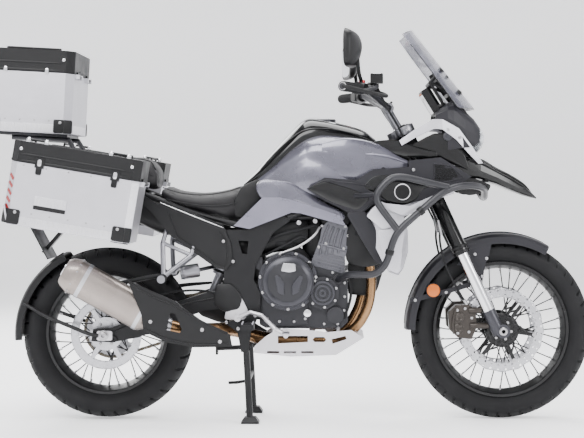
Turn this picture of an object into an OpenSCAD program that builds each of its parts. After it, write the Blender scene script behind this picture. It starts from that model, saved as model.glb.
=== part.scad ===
// Adventure motorcycle with hard luggage, upright on its centre stand.
// Frame: +X forward, +Y left, +Z up, floor at z = 0, millimetres.

/* [Chassis] */
// Distance between the two wheel axles
wheelbase = 1428; // [1280:1:1560]
// Steering head angle from vertical
rake = 25; // [23:0.5:27]
// Sideways distance of each fork leg from the middle
fork_y = 100; // [94:1:112]
// Radius of the upper fork tubes
fork_outer_r = 27; // [24:0.5:29]
// Radius of the polished lower fork tubes
fork_inner_r = 21.5; // [18:0.5:23]
// Wall side of the swingarm beams
beam_w = 28; // [20:1:32]

/* [Wheels] */
// Front tyre outer radius
front_tyre_r = 326; // [318:1:330]
// Front tyre width
front_tyre_w = 112; // [90:1:124]
// Rear tyre outer radius
rear_tyre_r = 309; // [300:1:311]
// Rear tyre width
rear_tyre_w = 160; // [132:1:164]
// Front rim radius at the bead
front_rim_r = 241; // [238:0.5:243]
// Rear rim radius at the bead
rear_rim_r = 216; // [212:0.5:218]
// Wire spokes on each wheel
spokes = 36; // [20:4:40]
// Front brake disc radius
front_disc_r = 152; // [130:1:160]
// Rear brake disc radius
rear_disc_r = 128; // [115:1:135]

/* [Luggage] */
// Side case length
case_l = 437; // [365:1:500]
// Side case depth, inner to outer face
case_w = 215; // [180:1:258]
// Side case body height
case_h = 212; // [176:1:220]
// Side case lid height
lid_h = 72; // [58:1:86]
// Sheet thickness of all three cases
case_t = 3; // [2:0.5:4]
// Nose-down pitch of the side cases
case_pitch = 9.6; // [8:0.1:11]
// Top case length
top_l = 308; // [257:1:340]
// Top case width
top_w = 376; // [313:1:420]
// Top case body height
top_h = 214; // [180:1:240]
// Top case lid height
top_lid_h = 80; // [66:1:96]

/* [Seat and screen] */
// Rider seat half width
seat_w = 140; // [118:1:160]
// Windshield half width
screen_w = 165; // [140:1:180]
// Windshield thickness
screen_t = 4; // [3:0.5:6]

/* [Stands] */
// Centre stand leg radius
stand_r = 12; // [10:0.5:14]

/* [Output] */
// Node to build

/* [Hidden] */
kx = wheelbase / 1428;
fx = 761 * kx;
rx = -667 * kx;
fz = front_tyre_r;
rz = rear_tyre_r + 4;
tr = tan(rake);
// steering axis crosses the floor here
sx0 = fx + 105;
function sax(z) = sx0 - tr * z;
// fork leg axis line, ahead of the steering axis
function fax(z) = sx0 + 30 - tr * z;
function m(p) = [for (a = p) [a[0] * kx, a[1]]];

// ---------- helpers ----------
// round bar between two points
module rod(a, b, r) {
  d = b - a; l = norm(d);
  translate(a) rotate([0, acos(d[2] / l), atan2(d[1], d[0])]) cylinder(h = l, r = r);
}
// bar through a list of points, round at each corner
module run(p, r) {
  for (i = [0 : len(p) - 2]) rod(p[i], p[i + 1], r);
  if (len(p) > 2) for (i = [1 : len(p) - 2]) translate(p[i]) sphere(r = r * 1.03);
}
// plate cut to a side outline, between y0 and y1
module plate(p, y0, y1) {
  translate([0, y1, 0]) rotate([90, 0, 0]) linear_extrude(y1 - y0) polygon(p);
}
// round bar along y
module ybar(x, z, r, y0, y1) {
  translate([x, y1, z]) rotate([90, 0, 0]) cylinder(h = y1 - y0, r = r);
}
module both() { children(); mirror([0, 1, 0]) children(); }
function sg(v) = v < 0 ? -1 : 1;
// closed skin through rings of equal length
module skin(r) {
  n = len(r[0]); k = len(r);
  polyhedron(points = [for (a = r) for (p = a) p],
    faces = concat([[for (i = [0 : n - 1]) i]],
      [[for (i = [0 : n - 1]) (k - 1) * n + n - 1 - i]],
      [for (j = [0 : k - 2], i = [0 : n - 1])
        [j * n + i, (j + 1) * n + i, (j + 1) * n + (i + 1) % n]],
      [for (j = [0 : k - 2], i = [0 : n - 1])
        [j * n + i, (j + 1) * n + (i + 1) % n, j * n + (i + 1) % n]]),
    convexity = 8);
}
// squared-off oval ring in the y-z plane: s = [x, y, half width, z low, z high, power]
function ring(s, n) = [for (i = [0 : n - 1])
  let (a = 360 * i / n, e = 2 / s[5], c = cos(a), q = sin(a))
  [s[0], s[1] + s[2] * sg(c) * pow(abs(c), e),
    (s[3] + s[4]) / 2 + (s[4] - s[3]) / 2 * sg(q) * pow(abs(q), e)]];
// body of squared ovals along x
module pod(st, n = 20) { skin([for (s = st) ring(s, n)]); }
// sweep of a round section along points, for hoses
function unit(v) = v / norm(v);
module hose(p, r, n = 8) {
  k = len(p);
  skin([for (j = [0 : k - 1])
    let (t = unit(p[min(j + 1, k - 1)] - p[max(j - 1, 0)]),
      u = unit(cross(t, [0, 1, 0.31])), v = cross(t, u))
    [for (i = [0 : n - 1]) p[j] + r * (cos(360 * i / n) * u + sin(360 * i / n) * v)]]);
}
// unit tangent at point j, and a carried side vector so the ring never twists
function tang(p, j) = unit(p[min(j + 1, len(p) - 1)] - p[max(j - 1, 0)]);
function carry(p, j, u) = j > len(p) - 1 ? [] :
  let (t = tang(p, j), w = unit(u - (u * t) * t)) concat([w], carry(p, j + 1, w));
// path with each corner rounded over distance d
function soft(p, d) = concat([p[0]],
  [for (i = [1 : len(p) - 2]) let (a = p[i] - unit(p[i] - p[i - 1]) * min(d, 0.45 * norm(p[i] - p[i - 1])),
      b = p[i] + unit(p[i + 1] - p[i]) * min(d, 0.45 * norm(p[i + 1] - p[i])))
    for (t = [0, 0.25, 0.5, 0.75, 1]) (1 - t) * (1 - t) * a + 2 * t * (1 - t) * p[i] + t * t * b],
  [p[len(p) - 1]]);
// bent tube with smooth corners
module pipe(p, r, d = 40, n = 12) {
  q = len(p) > 2 ? soft(p, d) : p;
  t0 = tang(q, 0);
  fr = carry(q, 0, abs(t0[1]) > 0.8 ? [0, 0, 1] : [0, 1, 0]);
  skin([for (j = [0 : len(q) - 1]) let (u = fr[j], v = cross(tang(q, j), u))
    [for (i = [0 : n - 1]) q[j] + r * (cos(360 * i / n) * u + sin(360 * i / n) * v)]]);
}
function bez(p, n) = [for (i = [0 : n]) let (t = i / n, s = 1 - t)
  s * s * s * p[0] + 3 * s * s * t * p[1] + 3 * s * t * t * p[2] + t * t * t * p[3]];

// ---------- frame ----------
plate_pts = m([[-240, 690], [-160, 690], [-1, 748], [-1, 723], [-62, 680], [-124, 567],
  [-131, 513], [-106, 462], [-112, 400], [-140, 330], [-150, 255], [-176, 255],
  [-190, 330], [-207, 430], [-240, 470], [-235, 560], [-215, 640]]);
piv = [-200 * kx, 440];
cs = [-160 * kx, 272];
module main_frame() color([0.16, 0.16, 0.17]) {
  difference() {
    union() {
      rod([sax(871), 0, 871], [sax(1018), 0, 1018], 33);
      both() {
        pipe([[sax(940) - 20, 20, 930], [250 * kx, 110, 850], [-10 * kx, 140, 735]], 15);
        pipe([[sax(880) - 12, 20, 880], [330 * kx, 45, 800], [225 * kx, 70, 720]], 13);
      }
      rod([sax(950) + 20, 0, 950], [606 * kx, 0, 988], 12);
    }
    rod([sax(855), 0, 855], [sax(1034), 0, 1034], 15.6);
  }
  both() {
    difference() {
      plate(plate_pts, 134, 146);
      translate([0, 0, 0]) plate(m([[-186, 652], [-150, 650], [-154, 604], [-172, 606]]), 130, 150);
    }
    pipe([[225 * kx, 70, 720], [90 * kx, 118, 738], [-20 * kx, 138, 733]], 11);
    rod([225 * kx, 70, 720], [205 * kx, 70, 690], 11);
  }
  ybar(-150 * kx, 672, 13, -136, 136);
  ybar(-140 * kx, 605, 11, -136, 136);
  ybar(piv[0], piv[1], 12, -149, 149);
  plate(m([[-176, 300], [-140, 330], [-58, 280], [-50, 252], [-90, 246], [-150, 262]]), 146, 158);
  ybar(-70 * kx, 262, 6, 150, 180);
  both() ybar(cs[0], cs[1], 8, 104, 146);
}
module subframe() color([0.14, 0.14, 0.15]) {
  both() {
    pipe([[-165 * kx, 118, 700], [-330 * kx, 118, 745], [-520 * kx, 116, 815], [-760 * kx, 112, 905]], 11);
    pipe([[-195 * kx, 118, 590], [-330 * kx, 118, 660], [-545 * kx, 116, 818]], 9);
    rod([-165 * kx, 118, 700], [-165 * kx, 134, 700], 10);
    rod([-195 * kx, 118, 590], [-195 * kx, 134, 590], 10);
  }
  ybar(-330 * kx, 745, 9, -118, 118);
  ybar(-520 * kx, 815, 9, -116, 116);
  ybar(-755 * kx, 903, 9, -112, 112);
}
// ---------- engine ----------
module crankcase() color([0.24, 0.24, 0.25]) {
  difference() {
    union() {
      plate(m([[-111, 350], [-90, 338], [183, 338], [205, 360], [205, 500], [190, 530],
        [60, 566], [-50, 600], [-113, 575], [-120, 480]]), -112, 112);
      ybar(100 * kx, 430, 78, 112, 132);
      plate(m([[-100, 352], [-10, 346], [60, 352], [60, 430], [20, 560], [-60, 590], [-105, 560]]), -124, -112);
      plate(m([[-100, 352], [-10, 346], [60, 352], [60, 430], [20, 560], [-60, 590], [-105, 560]]), 112, 122);
      ybar(115 * kx, 465, 58, -140, -112);
    }
    ybar(115 * kx, 465, 42, -145, -139);
    // sprocket pocket
    plate(m([[-200, 362], [-46, 372], [-46, 480], [-200, 482]]), 86, 140);
  }
  ybar(115 * kx, 465, 41, -146, -139);
  ybar(160 * kx, 385, 30, -128, -112);
  both() plate(m([[-140, 560], [-100, 540], [-100, 590], [-140, 600]]), 112, 134);
}
module cylinder_head() color([0.30, 0.30, 0.32]) {
  plate(m([[70, 563.5], [188, 531], [190, 545], [194, 590], [90, 618]]), -104, 104);
  plate(m([[90, 618], [194, 590], [200, 608], [203, 630], [104, 656]]), -112, 112);
  plate(m([[104, 656], [203, 630], [212, 690], [190, 715], [135, 722], [112, 700]]), -106, 106);
  for (i = [0 : 3]) plate(m([[72 + 5 * i, 572 + 11 * i], [192, 541 + 11 * i],
    [196, 544 + 11 * i], [70 + 5 * i, 576 + 11 * i]]), -110, 110);
}
module clutch_cover() color([0.30, 0.30, 0.32]) {
  difference() {
    ybar(-9 * kx, 508, 106, -142, -124);
    ybar(115 * kx, 465, 58.3, -150, -120);
  }
  ybar(-9 * kx, 508, 90, -176, -142);
  translate([-9 * kx, -176, 508]) rotate([90, 0, 0]) cylinder(h = 8, r1 = 84, r2 = 70);
}
module radiator() color([0.10, 0.10, 0.11]) {
  difference() {
    plate(m([[318, 590], [353, 583], [400, 780], [365, 788]]), -147, 147);
    plate(m([[349, 604], [356, 602], [394, 764], [387, 766]]), -132, 132);
  }
  both() rod([358 * kx, 45, 770], [343 * kx, 45, 794], 8);
}
module exhaust_headers() color([0.55, 0.42, 0.28]) {
  both() {
    run([[212 * kx, 45, 637], [250 * kx, 45, 622], [281 * kx, 45, 572], [290 * kx, 45, 510],
      [280 * kx, 45, 417], [245 * kx, 42, 345], [190 * kx, 38, 300], [120 * kx, 30, 285]], 20);
    rod([208.5 * kx, 45, 638.6], [216 * kx, 45, 635.6], 27);
  }
  run([[135 * kx, 0, 284], [30 * kx, 0, 284], [-110 * kx, -20, 290], [-190 * kx, -45, 322],
    [-240 * kx, -120, 334], [-290 * kx, -180, 338], [-370 * kx, -218, 340], [-452 * kx, -233.6, 364.6]], 24);
}
// silencer axis runs up and back from its front cone
sil_a = [-500 * kx, -238, 392]; sil_b = [-770 * kx, -262, 545];
module silencer() color([0.60, 0.57, 0.55]) {
  d = sil_b - sil_a; l = norm(d);
  translate(sil_a) rotate([0, acos(d[2] / l), atan2(d[1], d[0])]) difference() {
    union() {
      scale([1, 0.82, 1]) cylinder(h = l - 26, r = 62);
      translate([0, 0, l - 26]) scale([1, 0.82, 1]) cylinder(h = 44, r1 = 64, r2 = 46);
      translate([0, 0, -50]) cylinder(h = 50, r1 = 26, r2 = 50);
    }
    translate([0, 0, l - 30]) cylinder(h = 80, r = 24);
  }
  rod([-622 * kx, -216, 500], [-462 * kx, -176, 530], 8);
}
module heat_shield() color([0.10, 0.10, 0.11]) {
  difference() {
    plate(m([[-560, 520], [-396, 448], [-370, 424], [-295, 372], [-205, 330], [-197, 290],
      [-330, 288], [-424, 305], [-505, 343], [-512, 400]]), -296, -290);
    plate(m([[-425, 348], [-380, 338], [-372, 350], [-395, 404], [-412, 408]]), -300, -280);
  }
  plate(m([[-396, 448], [-370, 424], [-295, 372], [-205, 330], [-205, 324], [-295, 366],
    [-372, 417], [-398, 441]]), -290, -268);
  plate(m([[-210, 289], [-330, 288], [-330, 294], [-210, 295]]), -290, -268);
  ybar(-330 * kx, 340, 6, -292, -222);
  ybar(-440 * kx, 360, 6, -292, -254);
}
module skid_plate() color([0.80, 0.80, 0.82]) {
  o = m([[-132, 252], [-128, 276], [-90, 309], [-57, 330], [-25, 338], [61, 333],
    [130, 325], [216, 333], [262, 305], [163, 244], [0, 238]]);
  difference() {
    plate(o, -140, 140);
    plate(m([[-140, 256], [-132, 284], [-90, 330], [-57, 350], [61, 350], [216, 350],
      [240, 306], [158, 250], [0, 243]]), -135, 135);
    for (q = [-62, -2, 60]) plate(m([[q - 22, 250], [q + 22, 250], [q + 22, 258], [q - 22, 258]]), -150, 150);
    plate(m([[-45, 285], [62, 290], [62, 312], [-45, 312]]), -150, 150);
    plate(m([[86, 290], [120, 290], [128, 298], [120, 308], [86, 308], [78, 298]]), -150, 150);
    plate(m([[150, 284], [200, 300], [196, 312], [146, 300]]), -150, 150);
    both() rod([254 * kx, 44, 368], [182 * kx, 36, 295], 24);
  }
  both() rod([-60 * kx, 128, 322], [-60 * kx, 110, 345], 7);
  both() rod([170 * kx, 128, 318], [170 * kx, 100, 345], 7);
}
// ---------- tank and bodywork ----------
tank_st = [[-140, 0, 70, 835, 862, 3], [-118, 0, 96, 800, 884, 3], [-60, 0, 122, 776, 938, 3],
  [0, 0, 148, 770, 990, 3.2], [50, 0, 164, 768, 1026, 3.2], [104, 0, 172, 768, 1043, 3.2],
  [166, 0, 174, 770, 1039, 3.4], [230, 0, 170, 780, 1024, 3.6], [285, 0, 160, 800, 1004, 4]];
module tank_solid() pod([for (s = tank_st) [s[0] * kx, s[1], s[2], s[3], s[4], s[5]]], 24);
module fuel_tank() color([0.56, 0.55, 0.60]) {
  difference() {
    union() {
      tank_solid();
      both() pod([for (s = [[120, 152, 18, 850, 1010, 3], [200, 156, 20, 850, 1020, 3],
        [300, 157, 19, 862, 1000, 3], [380, 158, 17, 880, 955, 3], [416, 159, 12, 905, 938, 3]])
        [s[0] * kx, s[1], s[2], s[3], s[4], s[5]]], 16);
    }
    both() pipe([[sax(940) - 20, 20, 930], [250 * kx, 110, 850], [-10 * kx, 140, 735]], 16);
    both() rod([sax(900), 24, 915], [235 * kx, 24, 815], 30);
  }
}
module tank_top_cover() color([0.03, 0.03, 0.035]) {
  difference() {
    pod([for (s = [[-172, 0, 60, 838, 858, 3], [-120, 0, 88, 840, 912, 2.6], [-80, 0, 98, 850, 958, 2.6],
      [-15, 0, 108, 900, 1030, 2.6], [49, 0, 112, 940, 1088, 2.6], [110, 0, 112, 960, 1088, 2.8],
      [178, 0, 108, 960, 1074, 2.8], [260, 0, 102, 960, 1050, 2.8], [306, 0, 92, 975, 1016, 3]])
      [s[0] * kx, s[1], s[2], s[3], s[4], s[5]]], 20);
    tank_solid();
    translate([116 * kx, 0, 1082]) cylinder(h = 20, r = 46);
  }
  translate([116 * kx, 0, 1080]) cylinder(h = 6, r = 45);
}
module tank_lower_trim() color([0.65, 0.64, 0.70]) both() {
  rod([80 * kx, 132, 776], [80 * kx, 158, 762], 7);
  plate(m([[-202, 705], [-145, 694], [3, 752], [35, 750], [197, 705], [176, 742], [3, 798],
    [-38, 806], [-99, 806]]), 156, 163);
}
module radiator_shrouds() color([0.80, 0.80, 0.82]) both() {
  skin([for (s = [[[264, 745], [316, 791], 196], [[280, 688], [392, 760], 214], [[304, 625], [412, 690], 226],
    [[327, 578], [412, 617], 232], [[345, 546], [396, 560], 226], [[366, 530], [380, 535], 218]])
    [[s[0][0] * kx, s[2] - 22, s[0][1]], [s[0][0] * kx, s[2] - 16, s[0][1]],
     [s[1][0] * kx, s[2] + 26, s[1][1]], [s[1][0] * kx + 2, s[2] + 20, s[1][1]]]]);
  skin([for (s = [[[316, 780], [322, 792], 212], [[392, 738], [402, 760], 238],
    [[470, 765], [470, 800], 246], [[528, 805], [528, 823], 250], [[575, 820], [575, 830], 246]])
    [[s[0][0] * kx, s[2] - 4, s[0][1]], [s[0][0] * kx, s[2] + 2, s[0][1]],
     [s[1][0] * kx, s[2] + 2, s[1][1]], [s[1][0] * kx, s[2] - 4, s[1][1]]]]);
  rod([356 * kx, 140, 680], [340 * kx, 206, 690], 6);
}
module side_fairings() color([0.14, 0.14, 0.16]) both() {
  difference() {
    plate(m([[59, 836], [121, 876], [235, 868], [291, 904], [420, 915], [416, 936], [531, 948],
      [640, 880], [575, 836], [480, 800], [392, 778], [316, 800], [255, 752], [330, 580], [312, 578],
      [205, 752]]), 178, 206);
    plate(m([[70, 838], [126, 866], [232, 857], [292, 894], [520, 925], [600, 880], [560, 848],
      [470, 812], [390, 790], [310, 812], [240, 770], [206, 764]]), 170, 199);
    ybar(396 * kx, 826, 32, 203, 210);
  }
  ybar(396 * kx, 826, 31, 202, 209);
  rod([330 * kx, 172, 905], [330 * kx, 182, 905], 8);
  plate(m([[120, 846], [240, 838], [300, 800], [226, 768]]), 195, 199.5);
}
module nose_cowl() color([0.14, 0.14, 0.16]) {
  difference() {
    pod([for (s = [[517, 0, 150, 1060, 1110, 4], [560, 0, 146, 1030, 1146, 4],
      [583, 0, 140, 1000, 1156, 4], [625, 0, 126, 975, 1122, 4], [660, 0, 108, 972, 1090, 4],
      [680, 0, 92, 985, 1062, 4]]) [s[0] * kx, s[1], s[2], s[3], s[4], s[5]]], 24);
    pod([for (s = [[500, 0, 143, 1040, 1098, 4], [560, 0, 139, 1010, 1136, 4],
      [583, 0, 133, 900, 1145, 4], [625, 0, 118, 900, 1110, 4], [660, 0, 99, 900, 1078, 4],
      [700, 0, 82, 900, 1066, 4]]) [s[0] * kx, s[1], s[2], s[3], s[4], s[5]]], 24);
    translate([560 * kx, 0, 1150]) rotate([0, 40, 0]) cube([60, 150, 90], center = true);
  }
  both() plate(m([[560, 975], [640, 985], [600, 1040], [560, 1050]]), 138, 146);
  both() rod([603 * kx, 87.9, 1023], [603 * kx, 122, 1023], 8);
}
module cowl_trim() color([0.82, 0.82, 0.85]) both() {
  skin([for (s = [[[386, 1008], [395, 990], 178], [[440, 1046], [446, 1020], 172],
    [[505, 1084], [510, 1050], 166], [[540, 1084], [540, 1048], 163], [[600, 1051], [590, 1012], 152],
    [[650, 985], [636, 962], 138], [[688, 928], [672, 926], 124]])
    [[s[0][0] * kx, s[2] - 3, s[0][1]], [s[0][0] * kx, s[2] - 10, s[0][1]],
     [s[1][0] * kx, s[2] - 5, s[1][1]], [s[1][0] * kx, s[2] + 2, s[1][1]]]]);
  rod([560 * kx, 143, 1044], [560 * kx, 160, 1044], 6);
}
module headlight() color([0.75, 0.76, 0.78]) {
  pod([for (s = [[600, 0, 88, 978, 1068, 4], [640, 0, 84, 972, 1072, 4], [672, 0, 78, 966, 1068, 4],
    [694, 0, 62, 984, 1050, 3], [699, 0, 44, 1000, 1036, 3]]) [s[0] * kx, s[1], s[2], s[3], s[4], s[5]]], 24);
}
module beak() color([0.15, 0.15, 0.17]) {
  pod([for (s = [[588, 0, 128, 880, 950, 5], [640, 0, 122, 872, 946, 5], [682, 0, 112, 862, 940, 4],
    [740, 0, 88, 848, 908, 4], [790, 0, 66, 828, 882, 3.5], [840, 0, 44, 810, 852, 3],
    [875, 0, 26, 802, 824, 3], [894, 0, 10, 799, 805, 3]]) [s[0] * kx, s[1], s[2], s[3], s[4], s[5]]], 20);
  plate(m([[606, 938], [650, 934], [650, 974], [610, 980]]), -60, 60);
  plate(m([[612, 822], [664, 824], [664, 880], [612, 890]]), -104, 104);
}
// windshield surface: u up the sheet, v across from -1 to 1
function wsp(u, v, o) = let (x = 676 - 236 * u - (70 - 30 * u) * v * v, z = 1118 + 295 * u - 22 * u * v * v)
  [x * kx + o * 0.78, v * (screen_w - 10 + 12 * u - 34 * u * u * u * u), z + o * 0.6];
module windshield() color([0.35, 0.38, 0.40, 0.6]) {
  nu = 12; nv = 14;
  skin([for (i = [0 : nu]) let (u = 0.03 + 0.97 * i / nu) concat(
    [for (j = [0 : nv]) wsp(u, 2 * j / nv - 1, 0)],
    [for (j = [nv : -1 : 0]) wsp(u, 2 * j / nv - 1, -screen_t)])]);
}
module screen_bracket() color([0.08, 0.08, 0.09]) {
  both() {
    run([[548 * kx, 92, 1140], [500 * kx, 92, 1218], [540 * kx, 92, 1262]], 6);
    rod([540 * kx, 92, 1262], [543.5 * kx, 92, 1265.8], 11);
    run([[500 * kx, 92, 1218], [600 * kx, 92, 1178]], 5);
    rod([600 * kx, 92, 1178], [609 * kx, 92, 1189], 9);
  }
  ybar(500 * kx, 1218, 6, -92, 92);
}
module instrument_panel() color([0.05, 0.05, 0.06]) {
  translate([506 * kx, 0, 1150]) rotate([0, -32, 0]) {
    cube([22, 190, 104], center = true);
    translate([-12, 0, 0]) difference() {
      cube([6, 176, 92], center = true);
      translate([-3, 0, 0]) cube([3, 160, 80], center = true);
    }
  }
  both() rod([515 * kx, 70, 1125], [556 * kx, 86, 1140], 8);
}
module crash_bars() color([0.22, 0.22, 0.24]) {
  both() {
    pipe([[170 * kx, 112, 512], [205 * kx, 230, 538], [297 * kx, 288, 538], [337 * kx, 296, 575],
      [361 * kx, 300, 665], [385 * kx, 300, 700], [527 * kx, 286, 823], [580 * kx, 268, 846],
      [650 * kx, 214, 850], [690 * kx, 150, 838], [700 * kx, 60, 806], [700 * kx, 0, 804]], 12);
    pipe([[375 * kx, 300, 695], [304 * kx, 296, 788], [301 * kx, 294, 823], [350 * kx, 290, 876],
      [394 * kx, 288, 880], [553 * kx, 278, 842]], 12);
    rod([301 * kx, 294, 815], [230 * kx, 204, 812], 9);
    rod([170 * kx, 111.7, 512], [171 * kx, 117, 513], 18);
  }
}
// ---------- seats and tail ----------
module rider_seat() color([0.13, 0.13, 0.14]) difference() {
  pod([for (s = [[-470, 0, 116, 800, 846, 4], [-440, 0, 132, 776, 842, 4], [-400, 0, 140, 762, 828, 4],
    [-330, 0, 142, 744, 820, 4], [-271, 0, 140, 730, 824, 4], [-223, 0, 128, 716, 834, 4],
    [-181, 0, 108, 718, 848, 4], [-150, 0, 92, 750, 838, 4], [-122, 0, 78, 780, 806, 4]])
    [s[0] * kx, s[1], s[2] * seat_w / 140, s[3], s[4], s[5]]], 24);
  tank_solid();
  pod([for (s = [[-172, 0, 62, 836, 860, 3], [-120, 0, 90, 838, 914, 2.6]])
    [s[0] * kx, s[1], s[2], s[3], s[4], s[5]]], 20);
  both() run([[-100 * kx, 118, 682.5], [-165 * kx, 118, 700], [-330 * kx, 118, 745], [-520 * kx, 116, 815]], 11.4);
  ybar(-330 * kx, 745, 9.4, -130, 130);
}
module pillion_seat() color([0.13, 0.13, 0.14]) difference() {
  pod([for (s = [[-716, 0, 96, 900, 930, 4], [-690, 0, 118, 868, 948, 4], [-600, 0, 128, 846, 950, 4],
    [-530, 0, 130, 836, 948, 4], [-498, 0, 126, 830, 938, 4], [-476, 0, 120, 834, 900, 4]])
    [s[0] * kx, s[1], s[2] * seat_w / 140, s[3], s[4], s[5]]], 24);
  both() run([[-330 * kx, 118, 745], [-520 * kx, 116, 815], [-760 * kx, 112, 905]], 11.4);
}
module side_covers() color([0.14, 0.14, 0.15]) {
  both() difference() {
    plate(m([[-612, 868], [-560, 838], [-470, 780], [-456, 796], [-240, 708], [-232, 692], [-210, 637],
      [-207, 579], [-228, 548], [-268, 557], [-425, 669], [-500, 760], [-600, 820], [-640, 850]]), 148, 156);
    plate(m([[-434, 752], [-243, 680], [-222, 637], [-219, 585], [-232, 560], [-262, 568], [-405, 668]]), 151.5, 160);
  }
  both() plate(m([[-420, 748], [-250, 684], [-230, 637], [-227, 590], [-236, 572], [-262, 580], [-400, 674]]), 150, 154);
  both() rod([-340 * kx, 129, 742], [-340 * kx, 149, 742], 7);
  both() rod([-300 * kx, 126, 648], [-300 * kx, 149, 648], 7);
}
module tail_light() color([0.45, 0.05, 0.05]) {
  translate([-790 * kx, 0, 880]) cube([46, 130, 44], center = true);
  plate(m([[-815, 870], [-800, 870], [-760, 760], [-900, 600], [-912, 606], [-775, 765]]), -20, 20);
  translate([-905 * kx, 0, 640]) rotate([0, -28, 0]) cube([4, 190, 130], center = true);
  both() rod([-790 * kx, 60, 880], [-790 * kx, 128, 880], 6);
  both() rod([-790 * kx, 112, 880], [-768 * kx, 112, 902], 6);
  both() translate([-790 * kx, 142, 880]) scale([1, 1, 0.7]) sphere(r = 18);
}
// ---------- luggage ----------
pan_y = 246;
module pan_at(s) mirror([0, s < 0 ? 1 : 0, 0]) translate([-500 * kx, pan_y, 861]) rotate([0, case_pitch, 0]) children();
module case_plan(l, w, c, t) {
  polygon([[-l + t, t], [-t, t], [-t, w - c], [-c, w - t], [-l + c, w - t], [-l + t, w - c]]);
}
module pannier_body() {
  difference() {
    translate([0, 0, -case_h]) linear_extrude(case_h) case_plan(case_l, case_w, 24, 0);
    translate([0, 0, -case_h + case_t]) linear_extrude(case_h) case_plan(case_l, case_w, 24, case_t);
    translate([-case_l - 1, -1, -case_h - 1]) rotate([0, 0, 0])
      rotate([90, 0, 0]) translate([0, 0, -case_w - 2]) linear_extrude(case_w + 4)
      polygon([[0, 0], [22, 0], [0, 60]]);
  }
  difference() {
    translate([-case_l, 0, -case_h]) rotate([90, 0, 0]) translate([0, 0, -case_w + 1]) linear_extrude(case_w - 1)
      polygon([[21, 0], [27, 0], [4, 66], [-0.4, 60]]);
    translate([-case_l - 40, case_w - 25, -case_h - 1]) rotate([0, 0, 45]) translate([0, 0, 0]) cube([200, 60, 90]);
  }
  // hinge ears and pin under the front of the lid
  for (y = [30, case_w - 60]) translate([0, y, -16]) cube([15, 20, 16]);
  translate([hx, 40, hz]) rotate([-90, 0, 0]) cylinder(h = case_w - 90, r = 3);
  // corner brackets
  for (x = [-58, -case_l + 22]) translate([x, case_w, -case_h + 4]) cube([36, 3, 44]);
  translate([-case_l + 100, case_w, -case_h + 62]) cube([112, 2, 46]);
}
hx = 9; hz = -6.5;
module pannier_lid() {
  difference() {
    translate([0, 0, 1]) linear_extrude(lid_h - 1) case_plan(case_l, case_w, 24, -1.5);
    translate([0, 0, 0]) linear_extrude(lid_h - case_t) case_plan(case_l, case_w, 24, case_t - 1.5);
    for (a = [0, 1]) translate([a ? 1.5 : -case_l - 1.5, 0, lid_h]) rotate([0, a ? 35 : -35, 0])
      translate([a ? -80 : -0.01, -5, -4]) cube([80, case_w + 10, 30]);
  }
  for (x = [-60, -case_l + 38]) translate([x, 34, lid_h - 1]) run([[0, 0, 0], [0, 0, 9], [0, case_w - 70, 9], [0, case_w - 70, 0]], 4);
  for (x = [-96, -case_l + 84]) translate([x, case_w + 1.4, -10]) cube([30, 4, 34]);
  difference() {
    union() {
      translate([hx, 51, hz]) rotate([-90, 0, 0]) cylinder(h = case_w - 112, r = 6);
      translate([1.5 - 1, 51, 1]) cube([6.5, case_w - 112, 9]);
      translate([4, 51, hz]) cube([3, case_w - 112, 12]);
    }
    translate([hx, 40, hz]) rotate([-90, 0, 0]) cylinder(h = case_w, r = 3.06);
  }
}
module right_pannier() color([0.72, 0.72, 0.75]) pan_at(-1) pannier_body();
module left_pannier() color([0.72, 0.72, 0.75]) pan_at(1) pannier_body();
module right_lid() color([0.72, 0.72, 0.75]) pan_at(-1) pannier_lid();
module left_lid() color([0.72, 0.72, 0.75]) pan_at(1) pannier_lid();
// top case, local origin at the front lower edge of the box
tc_x = -1087 * kx + 308; tc_pitch = 3;
module tc_at() translate([tc_x, 0, 1030]) rotate([0, tc_pitch, 0]) children();
module tc_plan(g) {
  w = top_w / 2;
  polygon([[-top_l + g, -w + 30], [-top_l + 30, -w + g], [-26, -w + g], [-g, -w + 30], [-g, w - 30], [-26, w - g],
    [-top_l + 30, w - g], [-top_l + g, w - 30]]);
}
module top_case() color([0.72, 0.72, 0.75]) tc_at() {
  difference() {
    linear_extrude(top_h) tc_plan(0);
    translate([0, 0, case_t]) linear_extrude(top_h) tc_plan(case_t);
  }
  both() translate([-58, top_w / 2, 0]) cube([34, 3, 46]);
  both() translate([-top_l + 24, top_w / 2, 0]) cube([34, 3, 46]);
  both() {
    for (y = [60, 120]) translate([0, y, top_h - 16]) cube([15, 20, 16]);
    translate([hx, 70, top_h + hz]) rotate([-90, 0, 0]) cylinder(h = 60, r = 3);
  }
}
module top_lid() color([0.72, 0.72, 0.75]) tc_at() {
  difference() {
    translate([0, 0, top_h + 1]) linear_extrude(top_lid_h - 1) tc_plan(-1.5);
    translate([0, 0, top_h]) linear_extrude(top_lid_h - case_t) tc_plan(case_t - 1.5);
    for (s = [-1, 1]) translate([0, s * (top_w / 2 + 1.5), top_h + top_lid_h]) rotate([s > 0 ? -35 : 35, 0, 0])
      translate([-top_l - 10, s > 0 ? -60 : -0.01, -2]) cube([top_l + 30, 60.01, 30]);
  }
  both() translate([-top_l + 60, 0, 0]) run([[0, 120, top_h + top_lid_h - 1], [0, 120, top_h + top_lid_h + 8],
    [top_l - 120, 120, top_h + top_lid_h + 8], [top_l - 120, 120, top_h + top_lid_h - 1]], 4);
  both() {
    difference() {
      union() {
        translate([hx, 81, top_h + hz]) rotate([-90, 0, 0]) cylinder(h = 38, r = 6);
        translate([0.5, 81, top_h + 1]) cube([6.5, 38, 9]);
        translate([4, 81, top_h + hz]) cube([3, 38, 12]);
      }
      translate([hx, 60, top_h + hz]) rotate([-90, 0, 0]) cylinder(h = 90, r = 3.06);
    }
  }
}
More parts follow.
